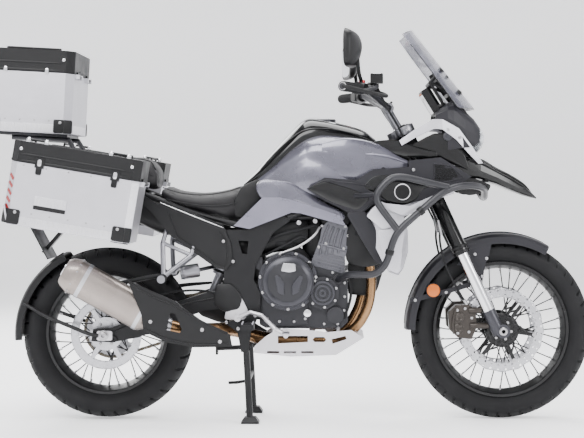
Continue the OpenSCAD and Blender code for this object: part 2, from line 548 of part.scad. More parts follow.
module luggage_rack() color([0.62, 0.62, 0.64]) {
  both() {
    run([[-732 * kx, 112, 895], [-762 * kx, 110, 950], [-798 * kx, 104, 1012], [-1000 * kx, 104, 1022]], 9);
    run([[-610 * kx, 112, 850], [-610 * kx, 180, 842], [-560 * kx, 226, 836], [-560 * kx, 234, 700], [-880 * kx, 234, 742],
      [-880 * kx, 226, 880], [-740 * kx, 180, 900], [-730 * kx, 112, 894]], 8);
    for (x = [-600, -830]) rod([x * kx, 234, (x == -600 ? 705 : 735) + 22], [x * kx, 248, (x == -600 ? 705 : 735) + 22], 12);
    for (x = [-600, -830]) translate([x * kx, 234, (x == -600 ? 705 : 735) + 10]) cube([16, 12, 36], center = true);
  }
  tc_at() translate([-top_l + 40, -120, -11]) cube([top_l - 60, 240, 10.7]);
  for (x = [-840, -970]) ybar(x * kx, 1016, 6, -104, 104);
}
// ---------- rear end ----------
module swingarm() color([0.16, 0.16, 0.17]) {
  both() {
    difference() {
      plate(m([[-175, 460], [-220, 474], [-300, 466], [-420, 428], [-560, 372], [-640, 340], [-705, 336],
        [-712, 292], [-640, 288], [-540, 306], [-400, 368], [-300, 404], [-220, 408], [-178, 418]]),
        131 - beam_w, 131);
      ybar(piv[0], piv[1], 12.05, 90, 140);
      ybar(rx, rz, 9, 90, 140);
    }
    difference() {
      ybar(-630 * kx, 300, 11, 131, 142);
      ybar(-630 * kx, 300, 4, 125, 145);
    }
    translate([rx, 131, rz]) rotate([0, 9, 0]) translate([-26, 0, -19]) difference() {
      cube([60, 9, 38]);
      translate([26, -1, 19]) rotate([-90, 0, 0]) cylinder(h = 20, r = 9);
    }
  }
  difference() {
    union() {
      ybar(piv[0], piv[1], 24, -106, 82);
      ybar(piv[0], piv[1], 14, 80, 106);
    }
    ybar(piv[0], piv[1], 12.05, -140, 140);
  }
  plate(m([[-262, 462], [-330, 448], [-336, 408], [-262, 410]]), -106, 82);
  plate(m([[-262, 434], [-330, 428], [-336, 408], [-262, 410]]), 80, 106);
  difference() {
    ybar(rx, rz, 10.26, -146, 146);
    ybar(rx, rz, 6, -150, 150);
  }
}
module rear_shock() color([0.50, 0.50, 0.52]) {
  rod([-290 * kx, 0, 452], [-262 * kx, 0, 520], 17);
  rod([-262 * kx, 0, 520], [-205 * kx, 0, 640], 30);
  rod([-205 * kx, 0, 640], [-196 * kx, 0, 662], 22);
  ybar(-196 * kx, 662, 12, -40, 40);
  rod([-196 * kx, 0, 662], [-152 * kx, 0, 672], 10);
  rod([-330 * kx, -100, 545], [-395 * kx, -112, 535], 24);
  rod([-330 * kx, -100, 545], [-250 * kx, -20, 560], 7);
}
chn = [rx, rz, 100, -100 * kx, 425, 36];
module drive_chain() color([0.35, 0.33, 0.30]) {
  dx = chn[3] - chn[0]; dz = chn[4] - chn[1]; l = sqrt(dx * dx + dz * dz);
  be = atan2(dz, dx); al = asin((chn[2] - chn[5]) / l);
  ybar(chn[3], chn[4], 31, 86, 97);
  difference() {
    translate([0, 100, 0]) rotate([90, 0, 0]) linear_extrude(13) difference() {
      union() {
        translate([chn[0], chn[1]]) circle(r = chn[2] + 7);
        translate([chn[3], chn[4]]) circle(r = chn[5] + 7);
        polygon([[chn[0] + 107 * cos(be + 90 - al), chn[1] + 107 * sin(be + 90 - al)],
          [chn[3] + 43 * cos(be + 90 - al), chn[4] + 43 * sin(be + 90 - al)],
          [chn[3] + 43 * cos(be - 90 + al), chn[4] + 43 * sin(be - 90 + al)],
          [chn[0] + 107 * cos(be - 90 + al), chn[1] + 107 * sin(be - 90 + al)]]);
      }
      translate([chn[0], chn[1]]) circle(r = chn[2] - 3);
      translate([chn[3], chn[4]]) circle(r = 29.5);
      polygon([[chn[0] + 97 * cos(be + 90 - al), chn[1] + 97 * sin(be + 90 - al)],
        [chn[3] + 29.5 * cos(be + 90 - al), chn[4] + 29.5 * sin(be + 90 - al)],
        [chn[3] + 29.5 * cos(be - 90 + al), chn[4] + 29.5 * sin(be - 90 + al)],
        [chn[0] + 97 * cos(be - 90 + al), chn[1] + 97 * sin(be - 90 + al)]]);
    }
  }
}
module rear_caliper() color([0.45, 0.42, 0.38]) {
  difference() {
    plate(m([[-640, 400], [-560, 392], [-548, 420], [-580, 450], [-640, 452]]), -98, -56);
    ybar(rx, rz, rear_disc_r + 5, -80, -66);
    plate(m([[-660, 380], [-540, 380], [-540, 432], [-660, 432]]), -80, -66);
  }
  plate(m([[-610, 350], [-590, 345], [-575, 400], [-610, 402]]), -103, -92);
}
module rear_hugger() color([0.08, 0.08, 0.09]) {
  translate([rx, 0, rz]) rotate([90, 0, 0]) rotate([0, 0, 118]) rotate_extrude(angle = 66)
    polygon([[rear_tyre_r - 8, -90], [rear_tyre_r + 12, -90], [rear_tyre_r + 20, -76], [rear_tyre_r + 23, 0],
      [rear_tyre_r + 20, 76], [rear_tyre_r + 12, 90], [rear_tyre_r - 8, 90], [rear_tyre_r - 8, 86],
      [rear_tyre_r + 9, 86], [rear_tyre_r + 16, 73], [rear_tyre_r + 19, 0], [rear_tyre_r + 16, -73],
      [rear_tyre_r + 9, -86], [rear_tyre_r - 8, -86]]);
  both() {
    pipe([[-962 * kx, 86, 424], [-880 * kx, 108, 380], [-716 * kx, 145, 318], [-686 * kx, 146, 313]], 7, 30);
  }
}
module footpegs() color([0.20, 0.20, 0.21]) both() {
  plate(m([[-235, 360], [-120, 396], [-112, 380], [-150, 335], [-190, 328]]), 146, 154);
  ybar(-148 * kx, 352, 12, 154, 176);
  difference() {
    translate([-148 * kx, 214, 352]) cube([44, 84, 20], center = true);
    for (y = [190, 214, 238]) translate([-148 * kx, y, 368]) cube([60, 10, 20], center = true);
  }
}
module passenger_pegs() color([0.70, 0.70, 0.72]) both() {
  difference() {
    union() {
      rod([-454 * kx, 158, 645], [-450 * kx, 168, 525], 9);
      rod([-450 * kx, 168, 525], [-352 * kx, 158, 600], 9);
      rod([-454 * kx, 158, 645], [-352 * kx, 158, 600], 7);
    }
  }
  rod([-430 * kx, 118, 733.5], [-454 * kx, 158, 645], 8);
  rod([-340 * kx, 126.7, 667.4], [-352 * kx, 158, 600], 8);
  translate([-450 * kx, 168, 525]) sphere(r = 13);
  ybar(-450 * kx, 520, 11, 168, 190);
  ybar(-450 * kx, 520, 14, 190, 246);
}
module foot_levers() color([0.72, 0.72, 0.74]) {
  // brake pedal on the right
  ybar(-187 * kx, 378, 12, -180, -154.3);
  run([[-187 * kx, -174, 378], [-140 * kx, -180, 400], [-100 * kx, -190, 390], [-53 * kx, -205, 345],
    [-20 * kx, -210, 326]], 7);
  ybar(-14 * kx, 322, 9, -232, -200);
  // gear lever on the left
  ybar(-120 * kx, 372, 9, 154.3, 178);
  run([[-120 * kx, 172, 372], [-60 * kx, 182, 350], [10 * kx, 190, 352]], 6);
  ybar(14 * kx, 352, 9, 184, 226);
}
// ---------- stands ----------
module centre_stand() color([0.10, 0.10, 0.11]) {
  foot = -146 * kx;
  both() {
    difference() {
      ybar(cs[0], cs[1], 18, 108, 133.6);
      ybar(cs[0], cs[1], 8.04, 100, 140);
    }
    rod([cs[0] + 1, 120, cs[1] - 12], [foot, 128, 22], stand_r);
    hull() {
      translate([foot + 2, 128, 22]) cube([40, 40, 2], center = true);
      translate([foot + 2, 128, 3]) cube([64, 54, 6], center = true);
    }
  }
  rod([cs[0] + 6, -122, 150], [cs[0] + 6, 122, 150], 10);
  run([[cs[0] + 4, 126, 120], [cs[0] - 50, 136, 110], [cs[0] - 80, 141, 108]], 6);
}
module side_stand() color([0.12, 0.12, 0.13]) {
  difference() {
    ybar(-70 * kx, 262, 16, 160, 176);
    ybar(-70 * kx, 262, 6.04, 150, 180);
  }
  pipe([[-82 * kx, 168, 259], [-180 * kx, 172, 238], [-285 * kx, 174, 234]], 9);
  translate([-286 * kx, 174, 234]) cube([8, 34, 46], center = true);
}
// ---------- fork ----------
module triple_clamps() color([0.55, 0.55, 0.57]) {
  for (z = [856, 1034]) translate([sax(z), 0, z]) rotate([0, -rake, 0]) difference() {
    union() {
      translate([0, 0, -14]) cylinder(h = 28, r = 34);
      translate([14, 0, 0]) cube([50, 2 * fork_y, 26], center = true);
      both() translate([30 * cos(rake), fork_y, -14]) cylinder(h = 28, r = fork_outer_r + 9);
    }
    both() translate([30 * cos(rake), fork_y, -20]) cylinder(h = 40, r = fork_outer_r + 0.02);
  }
  rod([sax(850), 0, 850], [sax(1044), 0, 1044], 15);
  // risers and bar clamps
  both() rod([sax(1034) + 14, 42, 1040], [352 * kx, 42, 1118], 15);
}
module fork_outer_tubes() color([0.10, 0.10, 0.11]) both() {
  rod([fax(612), fork_y, 612], [fax(1058), fork_y, 1058], fork_outer_r);
  rod([fax(604), fork_y, 604], [fax(622), fork_y, 622], fork_outer_r + 3);
}
module fork_inner_tubes() color([0.75, 0.75, 0.77]) {
  both() {
    rod([fax(330), fork_y, 330], [fax(604), fork_y, 604], fork_inner_r);
    difference() {
      union() {
        rod([fax(316), fork_y, 316], [fax(400), fork_y, 400], 23.8);
        ybar(fx, fz, 25, fork_y - 19, fork_y + 22);
      }
      ybar(fx, fz, 9, 0, 200);
    }
  }
  difference() {
    ybar(fx, fz, 10, -fork_y - 30, fork_y + 30);
    ybar(fx, fz, 7, -fork_y - 40, fork_y + 40);
  }
}
fen_r = front_tyre_r + 16;
module front_fender() color([0.13, 0.13, 0.14]) {
  difference() {
    translate([fx, 0, fz]) rotate([90, 0, 0]) rotate([0, 0, 60]) rotate_extrude(angle = 120)
      polygon([[fen_r - 30, -72], [fen_r - 6, -70], [fen_r + 4, -56], [fen_r + 9, 0], [fen_r + 4, 56],
        [fen_r - 6, 70], [fen_r - 30, 72], [fen_r - 30, 68.5], [fen_r - 8, 66.5], [fen_r + 1, 53],
        [fen_r + 5.5, 0], [fen_r + 1, -53], [fen_r - 8, -66.5], [fen_r - 30, -68.5]]);
  }
  both() {
    plate(m([[600, 560], [650, 636], [724, 640], [716, 600], [700, 560], [690, 492], [668, 486], [652, 520], [630, 560]]), 67, 71);
    plate(m([[428, 440], [560, 474], [672, 506], [680, 492], [560, 456], [432, 424]]), 67, 71);
    rod([fax(560), 69, 560], [fax(560), fork_y - fork_inner_r + 1, 560], 8);
    rod([fax(496), 69, 496], [fax(496), fork_y - fork_inner_r + 1, 496], 8);
    rod([513 * kx, 68, 470], [513 * kx, 80, 470], 25);
  }
}
module front_calipers() color([0.40, 0.37, 0.34]) both() {
  difference() {
    plate(m([[570, 330], [600, 302], [650, 296], [668, 340], [664, 400], [640, 420], [592, 418], [566, 392]]), 52, 98);
    ybar(fx, fz, front_disc_r + 5, 64.5, 75.5);
    plate(m([[640, 290], [700, 290], [700, 450], [640, 450]]), 64.5, 75.5);
    ybar(fx, fz, 88, 40, 120);
  }
  rod([640 * kx, 98, 400], [fax(400) - 25, fork_y, 400], 11);
  rod([645 * kx, 98, 345], [fax(345) - 25, fork_y, 345], 11);
}
bar_c = [352 * kx, 1128];
module handlebar() color([0.55, 0.55, 0.57]) {
  run([[183 * kx, -418, 1186], [270 * kx, -225, 1186], [bar_c[0], -90, bar_c[1]], [bar_c[0], 90, bar_c[1]],
    [270 * kx, 225, 1186], [183 * kx, 418, 1186]], 11);
  both() difference() {
    translate([bar_c[0], 42, bar_c[1]]) rotate([90, 0, 0]) cylinder(h = 26, r = 20, center = true);
    translate([bar_c[0], 42, bar_c[1]]) rotate([90, 0, 0]) cylinder(h = 40, r = 10.9, center = true);
  }
}
function hb(t) = [(270 - 87 * t) * kx, 225 + 193 * t, 1186];
module bar_controls() color([0.09, 0.09, 0.10]) {
  both() {
    difference() {
      rod(hb(0.36), hb(0.985), 17);
      rod(hb(0.3), hb(1.1), 11.02);
    }
    difference() {
      rod(hb(0.08), hb(0.3), 20);
      rod(hb(0), hb(0.4), 11.02);
    }
    pipe([hb(0.2) + [8, 0, 4], hb(0.2) + [58, 6, 10], hb(0.55) + [66, 0, -6], hb(0.9) + [58, 0, -16]], 6, 20, 10);
    // hand guards
    pipe([hb(0.12) + [12, 0, 0], hb(0.12) + [70, 4, -18], hb(0.5) + [112, 6, -30], hb(0.88) + [92, 10, -24],
      hb(0.99) + [20, 8, -4], hb(0.97) + [0, 2, 0]], 7, 24, 10);
  }
  both() translate(hb(0.14) + [46, 0, 34]) cube([44, 52, 30], center = true);
  both() rod(hb(0.14) + [12, 0, 10], hb(0.14) + [44, 0, 24], 8);
}
module mirrors() color([0.10, 0.10, 0.11]) both() {
  run([hb(0.2) + [0, 0, 18], [240 * kx, 300, 1240], [236 * kx, 318, 1290]], 7);
  translate([222 * kx, 334, 1322]) rotate([0, 0, -8])
    pod([[-26, 0, 86, -54, 54, 2.6], [-20, 0, 92, -60, 60, 2.6], [0, 0, 88, -56, 56, 2.5],
      [16, 0, 70, -44, 44, 2.3], [28, 0, 42, -26, 26, 2.2], [33, 0, 16, -10, 10, 2]], 24);
}
module brake_hoses() color([0.05, 0.05, 0.05]) both()
  hose(concat(
    bez([[632 * kx, 92, 421], [fax(500) - 64, fork_y + 8, 500], [fax(600) - 60, fork_y + 6, 600],
      [fax(700) - 34, fork_y + 6, 700]], 7),
    [for (p = bez([[fax(716) - 34, fork_y + 6, 716], [fax(800) - 36, fork_y + 10, 800],
      [348 * kx, 128, 1040], hb(0.14) + [46, 0, 14]], 9)) p]), 4);

// ---------- wheels ----------
module tyre(r, rb, w) {
  h = r - rb; a = w / 2;
  difference() {
    rotate([90, 0, 0]) rotate_extrude() polygon([[rb, -a * 0.50], [rb + 6, -a * 0.66], [rb + h * 0.30, -a * 0.92],
      [rb + h * 0.52, -a], [rb + h * 0.72, -a * 0.92], [rb + h * 0.88, -a * 0.66], [rb + h * 0.97, -a * 0.34],
      [r, -a * 0.10], [r, a * 0.10], [rb + h * 0.97, a * 0.34], [rb + h * 0.88, a * 0.66],
      [rb + h * 0.72, a * 0.92], [rb + h * 0.52, a], [rb + h * 0.30, a * 0.92], [rb + 6, a * 0.66], [rb, a * 0.50],
      [rb, a * 0.50 - 7], [rb + 10, a * 0.50 - 9], [rb + h * 0.32, a * 0.80], [rb + h * 0.52, a * 0.86],
      [rb + h * 0.70, a * 0.78], [rb + h * 0.84, a * 0.36], [rb + h * 0.84, -a * 0.36], [rb + h * 0.70, -a * 0.78],
      [rb + h * 0.52, -a * 0.86], [rb + h * 0.32, -a * 0.80], [rb + 10, -a * 0.50 + 9], [rb, -a * 0.50 + 7]]);
  }
}
module wheel(rb, w, hub_r, hub_w, ax) {
  a = w * 0.25; q = 22;
  rotate([90, 0, 0]) rotate_extrude() polygon([[rb - 0.3, -a - 8], [rb + 5, -a - 11.5], [rb + 5, -a - 15], [rb - 5, -a - 15],
    [rb - q + 4, -a * 0.4], [rb - q, 0], [rb - q + 4, a * 0.4], [rb - 5, a + 15], [rb + 5, a + 15], [rb + 5, a + 11.5],
    [rb - 0.3, a + 8], [rb - 0.3, a - 8], [rb - q + 10, a * 0.4], [rb - q + 10, -a * 0.4], [rb - 0.3, -a + 8]]);
  difference() {
    union() {
      ybar(0, 0, hub_r * 0.62, -hub_w, hub_w);
      for (s = [-1, 1]) ybar(0, 0, hub_r, s * (hub_w - 14) - 3.5, s * (hub_w - 14) + 3.5);
    }
    ybar(0, 0, ax, -200, 200);
  }
  for (i = [0 : spokes - 1]) {
    s = i % 2 == 0 ? 1 : -1; t = 360 * i / spokes; o = (floor(i / 2) % 2 == 0 ? 1 : -1) * 34;
    w = o > 0 ? 2.5 : -2.5;
    rod([(hub_r - 5) * cos(t - o), s * (hub_w - 14) + w, (hub_r - 5) * sin(t - o)],
      [(rb - q + 7) * cos(t), s * 5 + w, (rb - q + 7) * sin(t)], 2.2);
  }
}
module disc(r, ri, y, t, hub_r) {
  difference() {
    ybar(0, 0, r, y - t / 2, y + t / 2);
    ybar(0, 0, ri, y - t, y + t);
  }
  for (i = [0 : 5]) rotate([0, 60 * i, 0]) translate([(ri + hub_r) / 2, y, 0]) cube([ri - hub_r + 8, t - 0.6, 16], center = true);
  difference() {
    ybar(0, 0, hub_r + 2, y - t / 2, y + t / 2);
    ybar(0, 0, hub_r - 18, y - t, y + t);
  }
}
module front_tyre() color([0.09, 0.09, 0.095]) translate([fx, 0, fz]) tyre(front_tyre_r, front_rim_r, front_tyre_w);
module front_rim() color([0.10, 0.10, 0.11]) translate([fx, 0, fz]) {
  wheel(front_rim_r, front_tyre_w, 44, 63, 10.08);
}
module front_discs() color([0.62, 0.62, 0.64]) translate([fx, 0, fz]) both() difference() {
  union() {
    disc(front_disc_r, 118, 70, 5, 62);
    ybar(0, 0, 60, 63.2, 69);
  }
  ybar(0, 0, 18, 55, 90);
}
module rear_tyre() color([0.09, 0.09, 0.095]) translate([rx, 0, rz]) tyre(rear_tyre_r, rear_rim_r, rear_tyre_w);
module rear_rim() color([0.10, 0.10, 0.11]) translate([rx, 0, rz]) wheel(rear_rim_r, rear_tyre_w, 54, 70, 10.34);
module rear_disc() color([0.62, 0.62, 0.64]) translate([rx, 0, rz]) {
  difference() {
    union() {
      disc(rear_disc_r, 98, -73, 5, 58);
      ybar(0, 0, 50, -76, -70.2);
    }
    ybar(0, 0, 20, -90, -60);
  }
  // sprocket and carrier
  difference() {
    union() {
      ybar(0, 0, 96.6, 91, 96);
      ybar(0, 0, 60, 70.2, 91);
    }
    ybar(0, 0, 20, 60, 110);
    for (i = [0 : 5]) rotate([0, 60 * i + 30, 0]) ybar(76, 0, 11, 90, 110);
  }
}

main_frame();
subframe();
crankcase();
cylinder_head();
clutch_cover();
radiator();
exhaust_headers();
silencer();
heat_shield();
skid_plate();
fuel_tank();
tank_top_cover();
tank_lower_trim();
radiator_shrouds();
side_fairings();
nose_cowl();
cowl_trim();
headlight();
beak();
windshield();
screen_bracket();
instrument_panel();
crash_bars();
rider_seat();
pillion_seat();
side_covers();
tail_light();
luggage_rack();
right_pannier();
left_pannier();
top_case();
swingarm();
rear_shock();
drive_chain();
rear_caliper();
rear_hugger();
footpegs();
passenger_pegs();
foot_levers();
right_lid();
left_lid();
top_lid();
centre_stand();
side_stand();
triple_clamps();
fork_outer_tubes();
fork_inner_tubes();
front_fender();
front_calipers();
handlebar();
bar_controls();
mirrors();
brake_hoses();
front_tyre();
front_rim();
front_discs();
rear_tyre();
rear_rim();
rear_disc();
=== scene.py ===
"""Looks of the touring-enduro motorcycle: finishes, shaped panels, treads, fasteners, seats and studio.

Sizes are millimetres in the part's own frame (+X forward, +Y left, +Z up, floor at 0) and turn to metres
as meshes are made.
"""

import logging
from dataclasses import dataclass
from enum import Enum
from typing import Iterable, Sequence

import bmesh
import bpy
import numpy as np
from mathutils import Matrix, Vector


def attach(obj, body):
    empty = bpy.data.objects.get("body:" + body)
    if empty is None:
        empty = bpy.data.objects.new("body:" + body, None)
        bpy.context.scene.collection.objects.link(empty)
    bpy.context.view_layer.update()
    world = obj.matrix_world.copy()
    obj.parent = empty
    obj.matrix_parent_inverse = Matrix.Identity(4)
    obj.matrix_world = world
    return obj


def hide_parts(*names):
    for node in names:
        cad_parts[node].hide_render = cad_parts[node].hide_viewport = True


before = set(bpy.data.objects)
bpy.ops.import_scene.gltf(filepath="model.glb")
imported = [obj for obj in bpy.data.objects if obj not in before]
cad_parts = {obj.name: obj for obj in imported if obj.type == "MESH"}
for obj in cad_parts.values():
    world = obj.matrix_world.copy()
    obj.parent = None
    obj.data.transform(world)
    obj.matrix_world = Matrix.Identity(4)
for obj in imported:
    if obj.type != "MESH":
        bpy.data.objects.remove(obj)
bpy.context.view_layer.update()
LOG = logging.getLogger("motorcycle")
MM = 0.001


# ---------------------------------------------------------------- finishes


class Pattern(Enum):
    """How a surface was made, which sets the shape of its fine relief."""

    MOULDED = "moulded"
    BRUSHED = "brushed"
    GRAINED = "grained"
    FLAKED = "flaked"
    CAST = "cast"


def linear(code: str) -> tuple[float, float, float, float]:
    """Turns an sRGB hex colour to linear light.

    Args:
        code: six hex digits.

    Returns:
        Red, green, blue and alpha 1.
    """
    c = np.array([int(code[i : i + 2], 16) for i in (0, 2, 4)]) / 255.0
    c = np.where(c <= 0.04045, c / 12.92, ((c + 0.055) / 1.055) ** 2.4)
    return (float(c[0]), float(c[1]), float(c[2]), 1.0)


def add(
    tree: bpy.types.NodeTree, kind: str, settings: dict | None = None, links: dict | None = None
) -> bpy.types.Node:
    """Adds one node to a tree.

    Args:
        tree: the node tree.
        kind: the node's type name without its ShaderNode prefix.
        settings: attributes (plain names) or input values (names of sockets).
        links: input socket names with the output sockets that feed them.

    Returns:
        The new node.
    """
    made = tree.nodes.new("ShaderNode" + kind)
    for key, value in (settings or {}).items():
        if key in made.inputs:
            made.inputs[key].default_value = value
        else:
            setattr(made, key, value)
    for key, source in (links or {}).items():
        tree.links.new(source, made.inputs[key])
    return made


@dataclass(frozen=True)
class Finish:
    """One real material and how its surface was made.

    The colour drifts between two close shades over about 60 mm, roughness drifts with it, and a fine
    relief of the real grain size gives the highlight its texture.
    """

    name: str
    shade: str
    shade2: str
    metallic: float = 0.0
    rough: float = 0.5
    drift: float = 0.08
    grain_mm: float = 1.2
    relief: float = 0.15
    pattern: Pattern = Pattern.MOULDED
    coat: float = 0.0
    along: tuple[float, float, float] = (1.0, 1.0, 1.0)
    ior: float = 1.5
    shine: float = 0.26
    glow: float = 0.0

    def build(self) -> bpy.types.Material:
        """Makes the material.

        Returns:
            A material with its node tree filled in.
        """
        mat = bpy.data.materials.new(self.name)
        mat.use_nodes = True
        tree = mat.node_tree
        shader = tree.nodes["Principled BSDF"]
        shader.inputs["Metallic"].default_value = self.metallic
        if self.metallic < 0.5:
            shader.inputs["IOR"].default_value = self.ior
        if self.metallic < 0.3:
            shader.inputs["Specular IOR Level"].default_value = self.shine
        shader.inputs["Coat Weight"].default_value = self.coat
        shader.inputs["Coat Roughness"].default_value = 0.06
        place = add(tree, "TexCoord")
        broad = add(tree, "TexNoise", {"Scale": 16.0, "Detail": 3.0}, {"Vector": place.outputs["Object"]})
        tint = add(
            tree,
            "Mix",
            {"data_type": "RGBA", "factor_mode": "UNIFORM"},
        )
        tint.inputs[6].default_value = linear(self.shade)
        tint.inputs[7].default_value = linear(self.shade2)
        tree.links.new(broad.outputs["Fac"], tint.inputs[0])
        fine = self._fine(tree, place)
        spread = add(
            tree, "MapRange",
            {
                "From Min": 0.3, "From Max": 0.7, "To Min": max(self.rough - self.drift, 0.02),
                "To Max": self.rough + self.drift
            },
            {"Value": broad.outputs["Fac"] if self.pattern is not Pattern.BRUSHED else fine}
        )
        bump = add(
            tree, "Bump", {"Strength": self.relief, "Distance": 0.4 * self.grain_mm * MM}, {"Height": fine}
        )
        tree.links.new(tint.outputs[2], shader.inputs["Base Color"])
        tree.links.new(spread.outputs[0], shader.inputs["Roughness"])
        tree.links.new(bump.outputs[0], shader.inputs["Normal"])
        if self.glow:
            shader.inputs["Emission Color"].default_value = linear(self.shade2)
            shader.inputs["Emission Strength"].default_value = self.glow
        if self.pattern is Pattern.FLAKED:
            # metal flakes: small cells, each catching the light a little differently
            flake = add(
                tree, "TexVoronoi", {"Scale": 1.0 / (self.grain_mm * MM)},
                {"Vector": place.outputs["Object"]}
            )
            spark = add(tree, "MapRange", {"To Min": 0.86, "To Max": 1.12}, {"Value": flake.outputs["Color"]})
            lit = add(tree, "Mix", {"data_type": "RGBA", "blend_type": "MULTIPLY"})
            lit.inputs[0].default_value = 1.0
            tree.links.new(tint.outputs[2], lit.inputs[6])
            tree.links.new(spark.outputs[0], lit.inputs[7])
            tree.links.new(lit.outputs[2], shader.inputs["Base Color"])
        return mat

    def _fine(self, tree: bpy.types.NodeTree, place: bpy.types.Node) -> bpy.types.NodeSocket:
        """Adds the fine relief: streaks for brushed metal, cells for grain, soft noise for the rest.

        Args:
            tree: the material's tree.
            place: its texture coordinate node.

        Returns:
            The height output.
        """
        scale = 1.0 / (self.grain_mm * MM)
        if self.pattern is Pattern.BRUSHED:
            turned = add(tree, "Mapping", {"Scale": self.along}, {"Vector": place.outputs["Object"]})
            return add(
                tree, "TexNoise", {"Scale": scale, "Detail": 2.0}, {"Vector": turned.outputs[0]}
            ).outputs["Fac"]
        if self.pattern is Pattern.GRAINED:
            return add(
                tree, "TexVoronoi", {"Scale": scale, "feature": "DISTANCE_TO_EDGE"},
                {"Vector": place.outputs["Object"]}
            ).outputs["Distance"]
        detail = 6.0 if self.pattern is Pattern.CAST else 2.0
        return add(
            tree, "TexNoise", {"Scale": scale, "Detail": detail}, {"Vector": place.outputs["Object"]}
        ).outputs["Fac"]


@dataclass(frozen=True)
class ClearFinish:
    """Clear acrylic or polycarbonate sheet: light passes straight through a faint tint."""

    name: str
    shade: str
    rough: float = 0.03
    clear: float = 0.9
    alpha: float = 0.35

    def build(self) -> bpy.types.Material:
        """Makes the material, with fine moulding ripple in its gloss."""
        mat = bpy.data.materials.new(self.name)
        mat.use_nodes = True
        tree = mat.node_tree
        shader = tree.nodes["Principled BSDF"]
        shader.inputs["Base Color"].default_value = linear(self.shade)
        shader.inputs["Transmission Weight"].default_value = self.clear
        shader.inputs["Alpha"].default_value = self.alpha
        shader.inputs["IOR"].default_value = 1.49
        place = add(tree, "TexCoord")
        ripple = add(tree, "TexNoise", {"Scale": 30.0, "Detail": 1.0}, {"Vector": place.outputs["Object"]})
        dust = add(
            tree, "MapRange", {"To Min": self.rough, "To Max": self.rough + 0.05},
            {"Value": ripple.outputs["Fac"]}
        )
        tree.links.new(dust.outputs[0], shader.inputs["Roughness"])
        return mat


